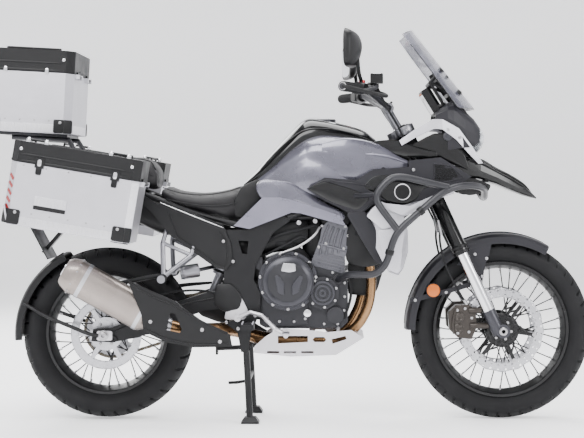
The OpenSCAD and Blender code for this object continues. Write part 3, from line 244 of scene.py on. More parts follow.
P = Pattern
ALL_FINISHES: tuple[Finish | ClearFinish, ...] = (
    # metallic lavender-grey base coat under clear lacquer
    Finish("tank_lacquer", "55545F", "62616D", 0.65, 0.28, 0.04, 0.9, 0.03, P.FLAKED, 0.8),
    # lighter lacquer of the tank's lower trim, also laid on the wing ridge lines as a painted highlight
    Finish("trim_lacquer", "6E6D7A", "7B7988", 0.65, 0.3, 0.04, 0.9, 0.03, P.FLAKED, 0.7),
    # piano-black moulded ABS under lacquer
    Finish("gloss_black_abs", "040405", "070708", 0.0, 0.16, 0.03, 8.0, 0.02, P.MOULDED, 0.3),
    # satin silver base coat on moulded panels
    Finish("silver_lacquer", "B4B3BA", "C0BFC5", 0.5, 0.34, 0.05, 0.9, 0.03, P.FLAKED, 0.35),
    # grained charcoal polypropylene
    Finish("charcoal_abs", "18181C", "1F1E23", 0.0, 0.46, 0.06, 0.8, 0.2, P.GRAINED),
    Finish("black_abs", "0A0A0B", "101012", 0.0, 0.46, 0.07, 0.8, 0.22, P.GRAINED),
    # textured vinyl over foam
    Finish("seat_vinyl", "111012", "19181A", 0.0, 0.5, 0.07, 2.2, 0.5, P.GRAINED),
    Finish("seat_side_vinyl", "0D0D0F", "131315", 0.0, 0.6, 0.05, 1.2, 0.3, P.GRAINED),
    # rolled sheet aluminium, brushed along its length, lightly anodised
    Finish("case_sheet", "B9B8BE", "C8C7CD", 0.8, 0.38, 0.09, 1.6, 0.1, P.BRUSHED, 0.0, (0.04, 1.0, 1.0)),
    Finish("case_edge", "D2D1D6", "DDDCE0", 0.8, 0.3, 0.07, 1.6, 0.1, P.BRUSHED, 0.0, (1.0, 1.0, 0.05)),
    Finish("cast_alloy", "75757A", "8A8A8F", 0.9, 0.36, 0.08, 1.4, 0.18, P.CAST),
    Finish("plate_alloy", "B9B7BB", "C8C6CA", 0.8, 0.36, 0.08, 1.8, 0.12, P.BRUSHED, 0.0, (0.05, 1.0, 1.0)),
    # baked powder coat on steel tube
    Finish("frame_powder", "0D0D0F", "131315", 0.1, 0.4, 0.06, 1.0, 0.12, P.CAST),
    Finish("bar_powder", "1E1E22", "27272B", 0.3, 0.36, 0.06, 1.0, 0.1, P.CAST),
    # sand-cast engine metal under grey paint
    Finish("engine_cast", "1E1E21", "28282C", 0.5, 0.44, 0.08, 1.5, 0.35, P.CAST),
    # bare sand-cast cylinder and head
    Finish("head_cast", "55555A", "65656B", 0.8, 0.36, 0.08, 1.4, 0.25, P.CAST),
    Finish("engine_cover", "303035", "3B3B40", 0.6, 0.34, 0.07, 1.3, 0.2, P.CAST),
    # header steel blued and bronzed by heat
    Finish("header_steel", "7C5E43", "9C7B58", 0.95, 0.28, 0.1, 2.5, 0.08, P.CAST),
    Finish("titanium", "857C77", "9D948E", 0.95, 0.32, 0.08, 1.6, 0.1, P.BRUSHED, 0.0, (1.0, 0.06, 1.0)),
    Finish("polished_steel", "D6D6D9", "E2E2E4", 1.0, 0.12, 0.04, 3.0, 0.02, P.MOULDED),
    Finish("ground_steel", "A9A9AD", "BDBDC1", 0.95, 0.3, 0.08, 1.6, 0.1, P.BRUSHED, 0.0, (1.0, 1.0, 1.0)),
    Finish("zinc_bolt", "9B9A9C", "AFAEB0", 0.9, 0.3, 0.06, 1.0, 0.08, P.CAST),
    Finish("black_bolt", "101011", "171719", 0.6, 0.36, 0.05, 1.0, 0.1, P.CAST),
    Finish("caliper_paint", "2E2A27", "3A3531", 0.6, 0.36, 0.06, 1.2, 0.15, P.CAST),
    Finish("tyre_rubber", "08080A", "0E0E10", 0.0, 0.72, 0.07, 1.6, 0.35, P.CAST),
    Finish("grip_rubber", "111113", "18181A", 0.0, 0.8, 0.05, 1.0, 0.3, P.CAST),
    Finish("rim_black", "0A0A0B", "0F0F11", 0.4, 0.32, 0.05, 1.2, 0.08, P.CAST),
    Finish("chain_steel", "5B554B", "6F685C", 0.85, 0.4, 0.08, 1.0, 0.15, P.CAST),
    Finish("core_black", "0C0C0D", "121213", 0.2, 0.6, 0.05, 1.0, 0.2, P.CAST),
    Finish("amber_reflector", "A8500F", "C2661B", 0.0, 0.2, 0.03, 3.0, 0.5, P.GRAINED, 0.3),
    Finish("red_anodised", "B8262B", "CB363A", 0.6, 0.3, 0.04, 1.0, 0.05, P.CAST),
    Finish("red_lens", "7A0E10", "8E1416", 0.0, 0.12, 0.03, 3.0, 0.4, P.GRAINED, 1.0),
    Finish("mirror_glass", "D9DDE2", "E2E6EA", 1.0, 0.03, 0.01, 20.0, 0.0, P.MOULDED),
    Finish("display_glass", "0E1418", "141C22", 0.0, 0.08, 0.02, 20.0, 0.0, P.MOULDED, 1.0),
    Finish("badge_enamel", "D9D9DC", "E3E3E6", 0.2, 0.2, 0.03, 3.0, 0.02, P.MOULDED, 0.8),
    Finish("stripe_white", "D8D8D6", "E2E2E0", 0.0, 0.4, 0.05, 1.0, 0.05, P.MOULDED, 0.3),
    Finish("reflector_bowl", "D8DBE0", "E6E8EC", 1.0, 0.08, 0.02, 6.0, 0.05, P.MOULDED),
    ClearFinish("screen_acrylic", "6E6E7C", 0.03, 0.5, 0.62),
    ClearFinish("lamp_cover", "DCE2EA", 0.02, 0.6, 0.5),
    Finish("studio_floor", "F2F2F3", "F6F6F7", 0.0, 0.8, 0.05, 3.0, 0.02, P.MOULDED, glow=0.62),
)
FINISHES = {finish.name: finish for finish in ALL_FINISHES}
_BUILT: dict[str, bpy.types.Material] = {}


def material(name: str) -> bpy.types.Material:
    """The finish of that name, made once."""
    if name not in _BUILT:
        _BUILT[name] = FINISHES[name].build()
    return _BUILT[name]


# ---------------------------------------------------------------- surfaces


@dataclass
class Shell:
    """Vertices in millimetres and the quads that join them."""

    verts: np.ndarray
    quads: np.ndarray

    def moved(self, shift: Sequence[float], turn: np.ndarray | None = None) -> "Shell":
        """The shell turned by a 3x3 matrix about the origin, then shifted."""
        v = self.verts if turn is None else self.verts @ turn.T
        return Shell(v + np.asarray(shift, float), self.quads)

    def mirrored(self) -> "Shell":
        """The shell's other hand, mirrored across the bike's middle plane."""
        return Shell(self.verts * (1, -1, 1), self.quads[:, ::-1])


def joined(shells: Iterable[Shell]) -> Shell:
    """Stacks shells into one."""
    shells = list(shells)
    starts = np.cumsum([0] + [len(s.verts) for s in shells[:-1]])
    return Shell(
        np.vstack([s.verts for s in shells]), np.vstack([s.quads + k for s, k in zip(shells, starts)])
    )


def both(shells: Iterable[Shell]) -> Shell:
    """Stacks shells with their mirror images."""
    one = joined(shells)
    return joined([one, one.mirrored()])


def grid(points: np.ndarray, wrap_u: bool = False, wrap_v: bool = False) -> Shell:
    """Joins a (u, v, 3) array of points with quads.

    Args:
        points: the surface's points.
        wrap_u: whether the last row joins the first.
        wrap_v: whether the last column joins the first.

    Returns:
        The shell.
    """
    nu, nv = points.shape[:2]
    i, j = np.meshgrid(
        np.arange(nu if wrap_u else nu - 1), np.arange(nv if wrap_v else nv - 1), indexing="ij"
    )
    i2, j2 = (i + 1) % nu, (j + 1) % nv
    quads = np.stack([i * nv + j, i2 * nv + j, i2 * nv + j2, i * nv + j2], -1).reshape(-1, 4)
    return Shell(points.reshape(-1, 3).astype(float), quads)


def spline(keys: np.ndarray, count: int) -> np.ndarray:
    """Catmull-Rom curve through the key rows, at evenly spread parameters.

    Args:
        keys: (k, d) key values.
        count: number of samples.

    Returns:
        (count, d) samples; between keys b and c with neighbours a and d it is the usual cubic of the four.
    """
    keys = np.asarray(keys, float)
    t = np.linspace(0, len(keys) - 1, count)
    i = np.clip(t.astype(int), 0, len(keys) - 2)
    f = (t - i)[:, None]
    pad = np.vstack([2 * keys[0] - keys[1], keys, 2 * keys[-1] - keys[-2]])
    a, b, c, d = pad[i], pad[i + 1], pad[i + 2], pad[i + 3]
    return 0.5 * (2 * b + (c - a) * f + (2 * a - 5 * b + 4 * c - d) * f**2 + (3 * b - a - 3 * c + d) * f**3)


def pod(stations: Sequence[Sequence[float]], nu: int = 48, nv: int = 64) -> Shell:
    """Closed body of squared ovals along x.

    At each x the section is y = w |cos v|^(2/p), z = mid + h |sin v|^(2/p), with w, h and the power p
    splined between stations. The ends are flat: there the section shrinks to a point by the square root
    of a sine.

    Args:
        stations: rows of x, half width, low z, high z, power.
        nu: samples along x.
        nv: samples round the section.

    Returns:
        The shell.
    """
    s = spline(stations, nu)
    arc = np.linspace(0, np.pi / 2, 6)
    shrink = np.concatenate([np.sin(arc) ** 0.5, np.ones(nu), np.sin(arc[::-1]) ** 0.5])
    rows = np.vstack([np.repeat(s[:1], 6, 0), s, np.repeat(s[-1:], 6, 0)])
    v = np.linspace(0, 2 * np.pi, nv, endpoint=False)
    p = 2 / rows[:, 4:5]
    c = np.sign(np.cos(v)) * np.abs(np.cos(v)) ** p
    q = np.sign(np.sin(v)) * np.abs(np.sin(v)) ** p
    mid, half = (rows[:, 2:3] + rows[:, 3:4]) / 2, (rows[:, 3:4] - rows[:, 2:3]) / 2
    pts = np.stack(
        [rows[:, :1] + 0 * c, rows[:, 1:2] * c * shrink[:, None], mid + half * q * shrink[:, None]], -1
    )
    return grid(pts, wrap_v=True)


def tube(
    path: Sequence[Sequence[float]], radius: float, count: int = 40, sides: int = 14, smooth: bool = True
) -> Shell:
    """Round bar carried along a path and closed at its ends.

    Each ring stands square to the path: its two side vectors come from crossing the tangent with a fixed,
    tilted reference, and the radius drops to nothing at the end rings.

    Args:
        path: key points.
        radius: bar radius.
        count: rings along the path.
        sides: points on each ring.
        smooth: whether a smooth curve runs through the key points.

    Returns:
        The shell.
    """
    key = np.asarray(path, float)
    line = spline(key, count) if smooth and len(key) > 2 else np.linspace(0, 1, 2)[:, None] * (
        key[-1] - key[0]
    ) + key[0]
    tang = np.gradient(line, axis=0)
    tang /= np.linalg.norm(tang, axis=1, keepdims=True)
    ref = np.array([0.31, 0.42, 0.85])
    if abs(float((tang @ (ref / np.linalg.norm(ref))).max())) > 0.97:
        ref = np.array([0.85, -0.31, 0.42])
    u = np.cross(tang, ref)
    u /= np.linalg.norm(u, axis=1, keepdims=True)
    w = np.cross(tang, u)
    a = np.linspace(0, 2 * np.pi, sides, endpoint=False)
    ring = u[:, None] * np.cos(a)[None, :, None] + w[:, None] * np.sin(a)[None, :, None]
    full = line[:, None] + radius * ring
    cap0, cap1 = np.repeat(line[:1, None], sides, 1), np.repeat(line[-1:, None], sides, 1)
    return grid(np.vstack([cap0, full[:1], full, full[-1:], cap1]), wrap_v=True)


def turn_to(axis: Sequence[float]) -> np.ndarray:
    """Matrix that carries +Z to the axis."""
    return np.array(Vector((0, 0, 1)).rotation_difference(Vector(axis)).to_matrix())


def revolved(profile: Sequence[Sequence[float]], sides: int = 32) -> Shell:
    """Profile of (radius, height) rows turned about local Z; rows at radius 0 close it."""
    pr = np.asarray(profile, float)
    a = np.linspace(0, 2 * np.pi, sides, endpoint=False)
    pts = np.stack([pr[:, :1] * np.cos(a), pr[:, :1] * np.sin(a), pr[:, 1:2] + 0 * a], -1)
    return grid(pts, wrap_v=True)


def block(size: Sequence[float], soft: float = 0.18) -> Shell:
    """Small squared solid with rounded ends: six stacked squared ovals, for blocks repeated many times.

    Args:
        size: full x, y and z size.
        soft: share of the half size taken by the rounding.

    Returns:
        The shell, centred on the origin.
    """
    a = np.linspace(0, 2 * np.pi, 8, endpoint=False) + np.pi / 8
    c = np.sign(np.cos(a)) * np.abs(np.cos(a)) ** 0.35
    s = np.sign(np.sin(a)) * np.abs(np.sin(a)) ** 0.35
    h = np.array([-1, -1, -1 + soft, 1 - soft, 1, 1])
    k = np.array([0, 1 - soft, 1, 1, 1 - soft, 0])
    half = np.asarray(size, float) / 2
    pts = np.stack([half[0] * k[:, None] * c, half[1] * k[:, None] * s, half[2] * h[:, None] + 0 * c], -1)
    return grid(pts, wrap_v=True)


def bolt(radius: float, height: float) -> Shell:
    """Domed cap with a round socket, about local Z, its seat at z = 0."""
    r, h = radius, height
    return revolved(
        [
            (0, 0), (r, 0), (r, 0.55 * h), (0.86 * r, 0.86 * h), (0.6 * r, h), (0.5 * r, h),
            (0.46 * r, 0.5 * h), (0, 0.45 * h)
        ],
        14
    )


def scattered(shape: Shell, places: Sequence[Sequence[float]], axis: Sequence[float]) -> list[Shell]:
    """The shape at each place, its local Z turned to the axis."""
    turn = turn_to(axis)
    return [shape.moved(p, turn) for p in places]


def piece(
    name: str,
    shell: Shell,
    finish: str,
    body: str = "frame",
    replaces: Sequence[str] = (),
    sharp: float = 40.0,
    closed: bool = True,
) -> bpy.types.Object:
    """Makes an object of a shell, dresses it and sends it off with its body.

    Args:
        name: the piece's name.
        shell: its surface in millimetres.
        finish: a key of FINISHES.
        body: the CAD body that it rides on.
        replaces: CAD nodes that it stands for.
        sharp: edge angle in degrees past which shading breaks.
        closed: whether normals are worked out afresh, as on a closed solid.

    Returns:
        The object.
    """
    mesh = bpy.data.meshes.new(name)
    mesh.from_pydata((shell.verts * MM).tolist(), [], shell.quads.tolist())
    bm = bmesh.new()
    bm.from_mesh(mesh)
    bmesh.ops.remove_doubles(bm, verts=bm.verts, dist=2e-6)
    bmesh.ops.dissolve_degenerate(bm, dist=1e-7, edges=bm.edges)
    if closed:
        bmesh.ops.recalc_face_normals(bm, faces=bm.faces)
    bm.to_mesh(mesh)
    bm.free()
    obj = bpy.data.objects.new(name, mesh)
    bpy.context.scene.collection.objects.link(obj)
    mesh.materials.append(material(finish))
    mesh.shade_smooth()
    mesh.set_sharp_from_angle(angle=np.radians(sharp))
    if replaces:
        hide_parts(*replaces)
    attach(obj, body)
    LOG.info("%s: %d faces on %s", name, len(mesh.polygons), body)
    return obj


def dress(node: str, finish: str, bevel: float = 0.0) -> None:
    """Gives a CAD node its finish, welds its facets and rounds its edges.

    Args:
        node: the CAD node's name.
        finish: a key of FINISHES.
        bevel: edge rounding in millimetres, or 0.
    """
    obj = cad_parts[node]
    for slot in obj.material_slots:
        slot.material = material(finish)
    if not obj.material_slots:
        obj.data.materials.append(material(finish))
    weld = obj.modifiers.new("weld", "WELD")
    weld.merge_threshold = 2e-6
    if bevel:
        mod = obj.modifiers.new("edge", "BEVEL")
        mod.width, mod.segments, mod.limit_method = bevel * MM, 2, "ANGLE"
        mod.angle_limit = np.radians(38)
        mod.harden_normals = False
    LOG.info("%s: dressed as %s", node, finish)


# ---------------------------------------------------------------- shared shapes


def rounded_outline(points: Sequence[Sequence[float]], count: int = 72, ease: int = 3) -> np.ndarray:
    """Closed outline resampled evenly and softened at its corners.

    Each sample is the mean of its neighbours inside a window of 2*ease+1, on an evenly spaced copy of the
    outline.

    Args:
        points: corner points.
        count: number of samples.
        ease: half width of the softening window.

    Returns:
        (count, 2) samples.
    """
    p = np.asarray(points, float)
    q = np.vstack([p, p[:1]])
    d = np.concatenate([[0], np.cumsum(np.linalg.norm(np.diff(q, axis=0), axis=1))])
    t = np.linspace(0, d[-1], count, endpoint=False)
    e = np.stack([np.interp(t, d, q[:, 0]), np.interp(t, d, q[:, 1])], -1)
    return sum(np.roll(e, k, 0) for k in range(-ease, ease + 1)) / (2 * ease + 1)


def panel(
    outline: Sequence[Sequence[float]], y_back: float, y_face: float, crown: float = 2.0, edge: float = 1.5,
    ease: int = 3
) -> Shell:
    """Crowned plate whose outline lies in the x-z plane.

    The face is the outline shrunk towards its middle by s from 1 to 0, standing out by crown * (1 - s^2)
    past y_face; its rim drops back over a quarter round of the edge size.

    Args:
        outline: corners as (x, z).
        y_back: where the back lies.
        y_face: where the rim of the face lies.
        crown: how far the middle stands out past the rim.
        edge: rounding of the rim.
        ease: corner softening.

    Returns:
        The shell.
    """
    o = rounded_outline(outline, 72, ease)
    mid = o.mean(0)
    out = 1.0 if y_face > y_back else -1.0
    rel = o - mid
    size = np.linalg.norm(rel, axis=1).mean()
    rows = []
    for s in (0.0, 0.3, 0.6, 0.85):
        rows.append((s, y_face + out * crown * (1 - s * s)))
    for a in np.linspace(0, np.pi / 2, 4):
        rows.append((1 - edge / size * (1 - np.sin(a)), y_face - out * edge * (1 - np.cos(a))))
    rows += [(1.0, y_back), (0.0, y_back)]
    s = np.array([r[0] for r in rows])[:, None]
    y = np.array([r[1] for r in rows])[:, None]
    pts = np.stack([mid[0] + rel[:, 0] * s, y + 0 * s * rel[:, 0], mid[1] + rel[:, 1] * s], -1)
    return grid(pts, wrap_v=True)


def cornered(path: Sequence[Sequence[float]], reach: float) -> np.ndarray:
    """Path whose corners give way to quadratic curves that start and end the reach away from them."""
    p = np.asarray(path, float)
    out = [p[:1]]
    t = np.linspace(0, 1, 8)[:, None]
    for k in range(1, len(p) - 1):
        a, b = p[k - 1] - p[k], p[k + 1] - p[k]
        la, lb = np.linalg.norm(a), np.linalg.norm(b)
        s, e = p[k] + a / la * min(reach, 0.45 * la), p[k] + b / lb * min(reach, 0.45 * lb)
        out.append((1 - t) ** 2 * s + 2 * t * (1 - t) * p[k] + t**2 * e)
    return np.vstack(out + [p[-1:]])


def bar(path: Sequence[Sequence[float]], radius: float, reach: float = 40.0, sides: int = 18) -> Shell:
    """Bent round tube with eased corners, carried along the cornered path."""
    return swept(cornered(path, reach), radius, sides)


def swept(line: np.ndarray, radius: float | np.ndarray, sides: int = 18) -> Shell:
    """Round section carried along the given points without twist.

    The side vector at each point is the last one with its part along the new tangent taken away, so rings
    never spin.

    Args:
        line: (n, 3) points.
        radius: one radius, or one at each point.
        sides: points on each ring.

    Returns:
        The closed shell.
    """
    tang = np.gradient(line, axis=0)
    tang /= np.linalg.norm(tang, axis=1, keepdims=True)
    u = np.zeros_like(line)
    last = np.array([0.0, 1.0, 0.0]) if abs(tang[0, 1]) < 0.8 else np.array([0.0, 0.0, 1.0])
    for k, t in enumerate(tang):
        last = last - (last @ t) * t
        last /= np.linalg.norm(last)
        u[k] = last
    w = np.cross(tang, u)
    a = np.linspace(0, 2 * np.pi, sides, endpoint=False)
    r = np.broadcast_to(np.asarray(radius, float), (len(line),))[:, None, None]
    full = line[:, None] + r * (u[:, None] * np.cos(a)[None, :, None] + w[:, None] * np.sin(a)[None, :, None])
    caps = [np.repeat(line[k : k + 1, None], sides, 1) for k in (0, -1)]
    return grid(np.vstack([caps[0], full, caps[1]]), wrap_v=True)


def about_y(degrees: float) -> np.ndarray:
    """Rotation matrix about +Y."""
    a = np.radians(degrees)
    return np.array([[np.cos(a), 0, np.sin(a)], [0, 1, 0], [-np.sin(a), 0, np.cos(a)]])


def about_z(degrees: float) -> np.ndarray:
    """Rotation matrix about +Z."""
    a = np.radians(degrees)
    return np.array([[np.cos(a), -np.sin(a), 0], [np.sin(a), np.cos(a), 0], [0, 0, 1]])


def drilled_ring(
    outer: float, inner: float, thick: float, cells: int, rows: int, hole: float, wave: float = 0.0,
    waves: int = 10
) -> Shell:
    """Flat ring about local Z with a round hole in every cell, and a wavy outer edge.

    The ring is cut to cells by angle and by radius. Inside each, a ray at every 22.5 degrees runs from
    the hole's circle to the square edge of the cell, so that neighbouring cells share their points.

    Args:
        outer: outer radius.
        inner: inner radius.
        thick: thickness.
        cells: cells round the ring.
        rows: cells across the ring.
        hole: hole radius; rows and cells of odd sum get a smaller hole.
        wave: depth of the wave in the outer edge.
        waves: number of waves.

    Returns:
        The shell.
    """
    a = np.arange(16) * np.pi / 8
    ca, sa = np.cos(a), np.sin(a)
    reach = 1 / np.maximum(np.abs(ca), np.abs(sa))
    i, j = np.meshgrid(np.arange(cells), np.arange(rows), indexing="ij")
    i, j = i.ravel(), j.ravel()
    step = (outer - inner) / rows
    mid = inner + (j + 0.5) * step
    theta = (i + 0.5) * 2 * np.pi / cells
    bore = np.where((i + j) % 2 == 0, hole, hole * 0.72)
    hx, hy = bore[:, None] * ca, bore[:, None] * sa / mid[:, None]
    sx, sy = 0.5 * step * ca * reach + 0 * hx, np.pi / cells * sa * reach + 0 * hx
    r = np.stack([mid[:, None] + hx, mid[:, None] + sx, mid[:, None] + sx, mid[:, None] + hx], 1)
    t = np.stack([theta[:, None] + hy, theta[:, None] + sy, theta[:, None] + sy, theta[:, None] + hy], 1)
    far = (r - inner) / (outer - inner)
    r = r - wave * far**3 * 0.5 * (1 - np.cos(waves * t))
    z = np.array([0.5, 0.5, -0.5, -0.5])[None, :, None] * thick + 0 * r
    pts = np.stack([r * np.cos(t), r * np.sin(t), z], -1)
    faces = []
    for k in range(4):
        if k == 1:
            continue
        n = (k + 1) % 4
        m = (np.arange(16) + 1) % 16
        base = np.arange(len(i))[:, None] * 64
        faces.append(
            np.stack(
                [
                    base + k * 16 + np.arange(16), base + k * 16 + m, base + n * 16 + m,
                    base + n * 16 + np.arange(16)
                ],
                -1
            )
        )
    rims = []
    tt = np.linspace(0, 2 * np.pi, cells * 4, endpoint=False)
    for radius, w in ((outer, wave), (inner, 0.0)):
        rr = radius - w * 0.5 * (1 - np.cos(waves * tt))
        rims.append(
            grid(
                np.stack(
                    [
                        np.stack([rr * np.cos(tt), rr * np.sin(tt), 0 * tt + s * thick / 2], -1)
                        for s in (1, -1)
                    ]
                ),
                wrap_v=True
            )
        )
    return joined([Shell(pts.reshape(-1, 3), np.concatenate([f.reshape(-1, 4) for f in faces]))] + rims)


# ---------------------------------------------------------------- studio


@dataclass
class Studio:
    """Pale floor sweeping up behind, soft lights and the camera."""

    eye: tuple[float, float, float] = (0.1585, -5.6, 0.868)
    lens: float = 94.4
    shift: tuple[float, float] = (-0.0736, -0.0668)

    def camera(self) -> None:
        """Sets the camera square to the bike's right side."""
        data = bpy.data.cameras.new("camera")
        data.lens, data.sensor_width = self.lens, 36.0
        data.shift_x, data.shift_y = self.shift
        data.dof.use_dof = False
        obj = bpy.data.objects.new("camera", data)
        obj.location = self.eye
        obj.rotation_euler = (np.radians(90), 0, 0)
        bpy.context.scene.collection.objects.link(obj)
        bpy.context.scene.camera = obj

    def build(self) -> None:
        """Makes the sweep (a round floor that turns up to a wall over a quarter circle), world and lamps."""
        a = np.linspace(0, np.pi / 2, 16)[1:]
        r = np.concatenate([[0.01, 4000, 11000], 11000 + 2600 * np.sin(a), [13600]])
        z = np.concatenate([[-0.5, -0.5, -0.5], -0.5 + 2600 * (1 - np.cos(a)), [8500]])
        shell = revolved(list(zip(r, z)), 96)
        mesh = bpy.data.meshes.new("floor")
        mesh.from_pydata((shell.verts * MM).tolist(), [], shell.quads.tolist())
        mesh.shade_smooth()
        mesh.materials.append(material("studio_floor"))
        obj = bpy.data.objects.new("floor", mesh)
        bpy.context.scene.collection.objects.link(obj)
        world = bpy.data.worlds.new("soft_room")
        world.use_nodes = True
        world.node_tree.nodes["Background"].inputs[0].default_value = linear("F4F5F8")
        world.node_tree.nodes["Background"].inputs[1].default_value = 0.55
        bpy.context.scene.world = world
        for name, where, aim, size, power in (
            ("key", (-1.4, -3.4, 3.8), (0, 0, 0.6), 3.0, 330.0),
            ("fill", (3.6, -2.6, 2.4), (0.3, 0, 0.7), 1.8, 130.0),
            ("top", (0.0, 0.8, 4.2), (0, 0.4, 0.0), 3.4, 330.0),
            ("back", (-2.4, 3.4, 2.8), (0, 0, 0.7), 2.4, 150.0),
        ):
            data = bpy.data.lights.new(name, "AREA")
            data.energy, data.size = power, size
            lamp = bpy.data.objects.new(name, data)
            lamp.location = where
            lamp.rotation_euler = (Vector(aim) - Vector(where)).to_track_quat("-Z", "Y").to_euler()
            bpy.context.scene.collection.objects.link(lamp)


# ---------------------------------------------------------------- running gear


@dataclass
class Tyre:
    """Dual-sport tyre: round carcass, block tread cut by zigzag grooves, ribbed sidewalls."""

    name: str
    body: str
    centre: tuple[float, float, float]
    radius: float
    bead: float
    width: float
    pitches: int
    depth: float = 8.0

    def profile(self) -> tuple[np.ndarray, np.ndarray]:
        """Outer and inner section curves, splined through the carcass stations."""
        h, a, rb = self.radius - self.bead, self.width / 2, self.bead
        outer = [
            (rb, -0.50), (rb + 6, -0.66), (rb + h * 0.30, -0.92), (rb + h * 0.52, -1.0),
            (rb + h * 0.72, -0.92), (rb + h * 0.88, -0.66), (rb + h * 0.97, -0.34), (self.radius, 0.0)
        ]
        outer = outer + [(r, -w) for r, w in outer[-2::-1]]
        inner = [(rb, 0.42), (rb + 10, 0.42), (rb + h * 0.4, 0.8), (rb + h * 0.7, 0.76), (rb + h * 0.84, 0.3)]
        inner = inner + [(r, -w) for r, w in inner[::-1]]
        return spline(np.array(outer) * (1, a), 74), spline(np.array(inner) * (1, a), 16)

    def build(self) -> None:
        """Revolves the section, then sinks the grooves.

        The tread height is 1 on blocks and 0 in grooves. Grooves follow angle * pitches + 0.35 * |w| (a
        chevron), a wavy line either side of the middle, and a shoulder line; each edge eases over about 2
        mm.
        """
        outer, inner = self.profile()
        n = 1008
        t = np.linspace(0, 2 * np.pi, n, endpoint=False)[:, None]
        r, w = outer[:, 0][None], outer[:, 1][None] / (self.width / 2)
        level = (r - self.bead) / (self.radius - self.bead)
        phase = (t / (2 * np.pi) * self.pitches + 0.38 * np.abs(w) + np.where(w > 0, 0.5, 0.0)) % 1.0
        pitch = 2 * np.pi * self.radius / self.pitches
        across = np.abs(phase - 0.5) * pitch
        groove = np.clip((5.6 - across) / 2.2, 0, 1)
        wave = 0.20 + 0.06 * np.sin(t * self.pitches)
        ringed = np.clip((3.6 - np.abs(np.abs(w) - wave) * self.width / 2) / 1.8, 0, 1)
        ringed = ringed * (self.depth > 0)
        tread = np.clip((level - 0.70) / 0.05, 0, 1)
        cut = self.depth * np.maximum(groove * np.clip((np.abs(w) - 0.10) / 0.04, 0, 1), 0.8 * ringed) * tread
        sipe = np.clip(
            (1.6 - np.abs((phase % 1.0) - 0.02) * pitch) / 1.2, 0, 1
        ) * np.clip((0.20 - np.abs(w)) / 0.02, 0, 1)
        cut = np.maximum(cut, 3.0 * sipe * tread)
        rib = 0.7 * (np.abs(level - 0.30) < 0.012) + 0.6 * (np.abs(level - 0.60) < 0.012)
        rr = r - cut + 0 * rib
        yy = outer[:, 1][None] * (
            1 + 0.012 * rib - 0.012
        ) + 0 * t - np.sign(outer[:, 1])[None] * cut * 0.25 * (np.abs(w) > 0.7)
        rr_in, yy_in = inner[:, 0][None] + 0 * t, inner[:, 1][None] + 0 * t
        rr, yy = np.hstack([rr, rr_in]), np.hstack([yy, yy_in])
        pts = np.stack([rr * np.cos(t), yy, rr * np.sin(t)], -1)
        shell = grid(pts, wrap_u=True, wrap_v=True).moved(self.centre)
        piece(self.name + "_tread", shell, "tyre_rubber", self.body, [self.name], sharp=28)


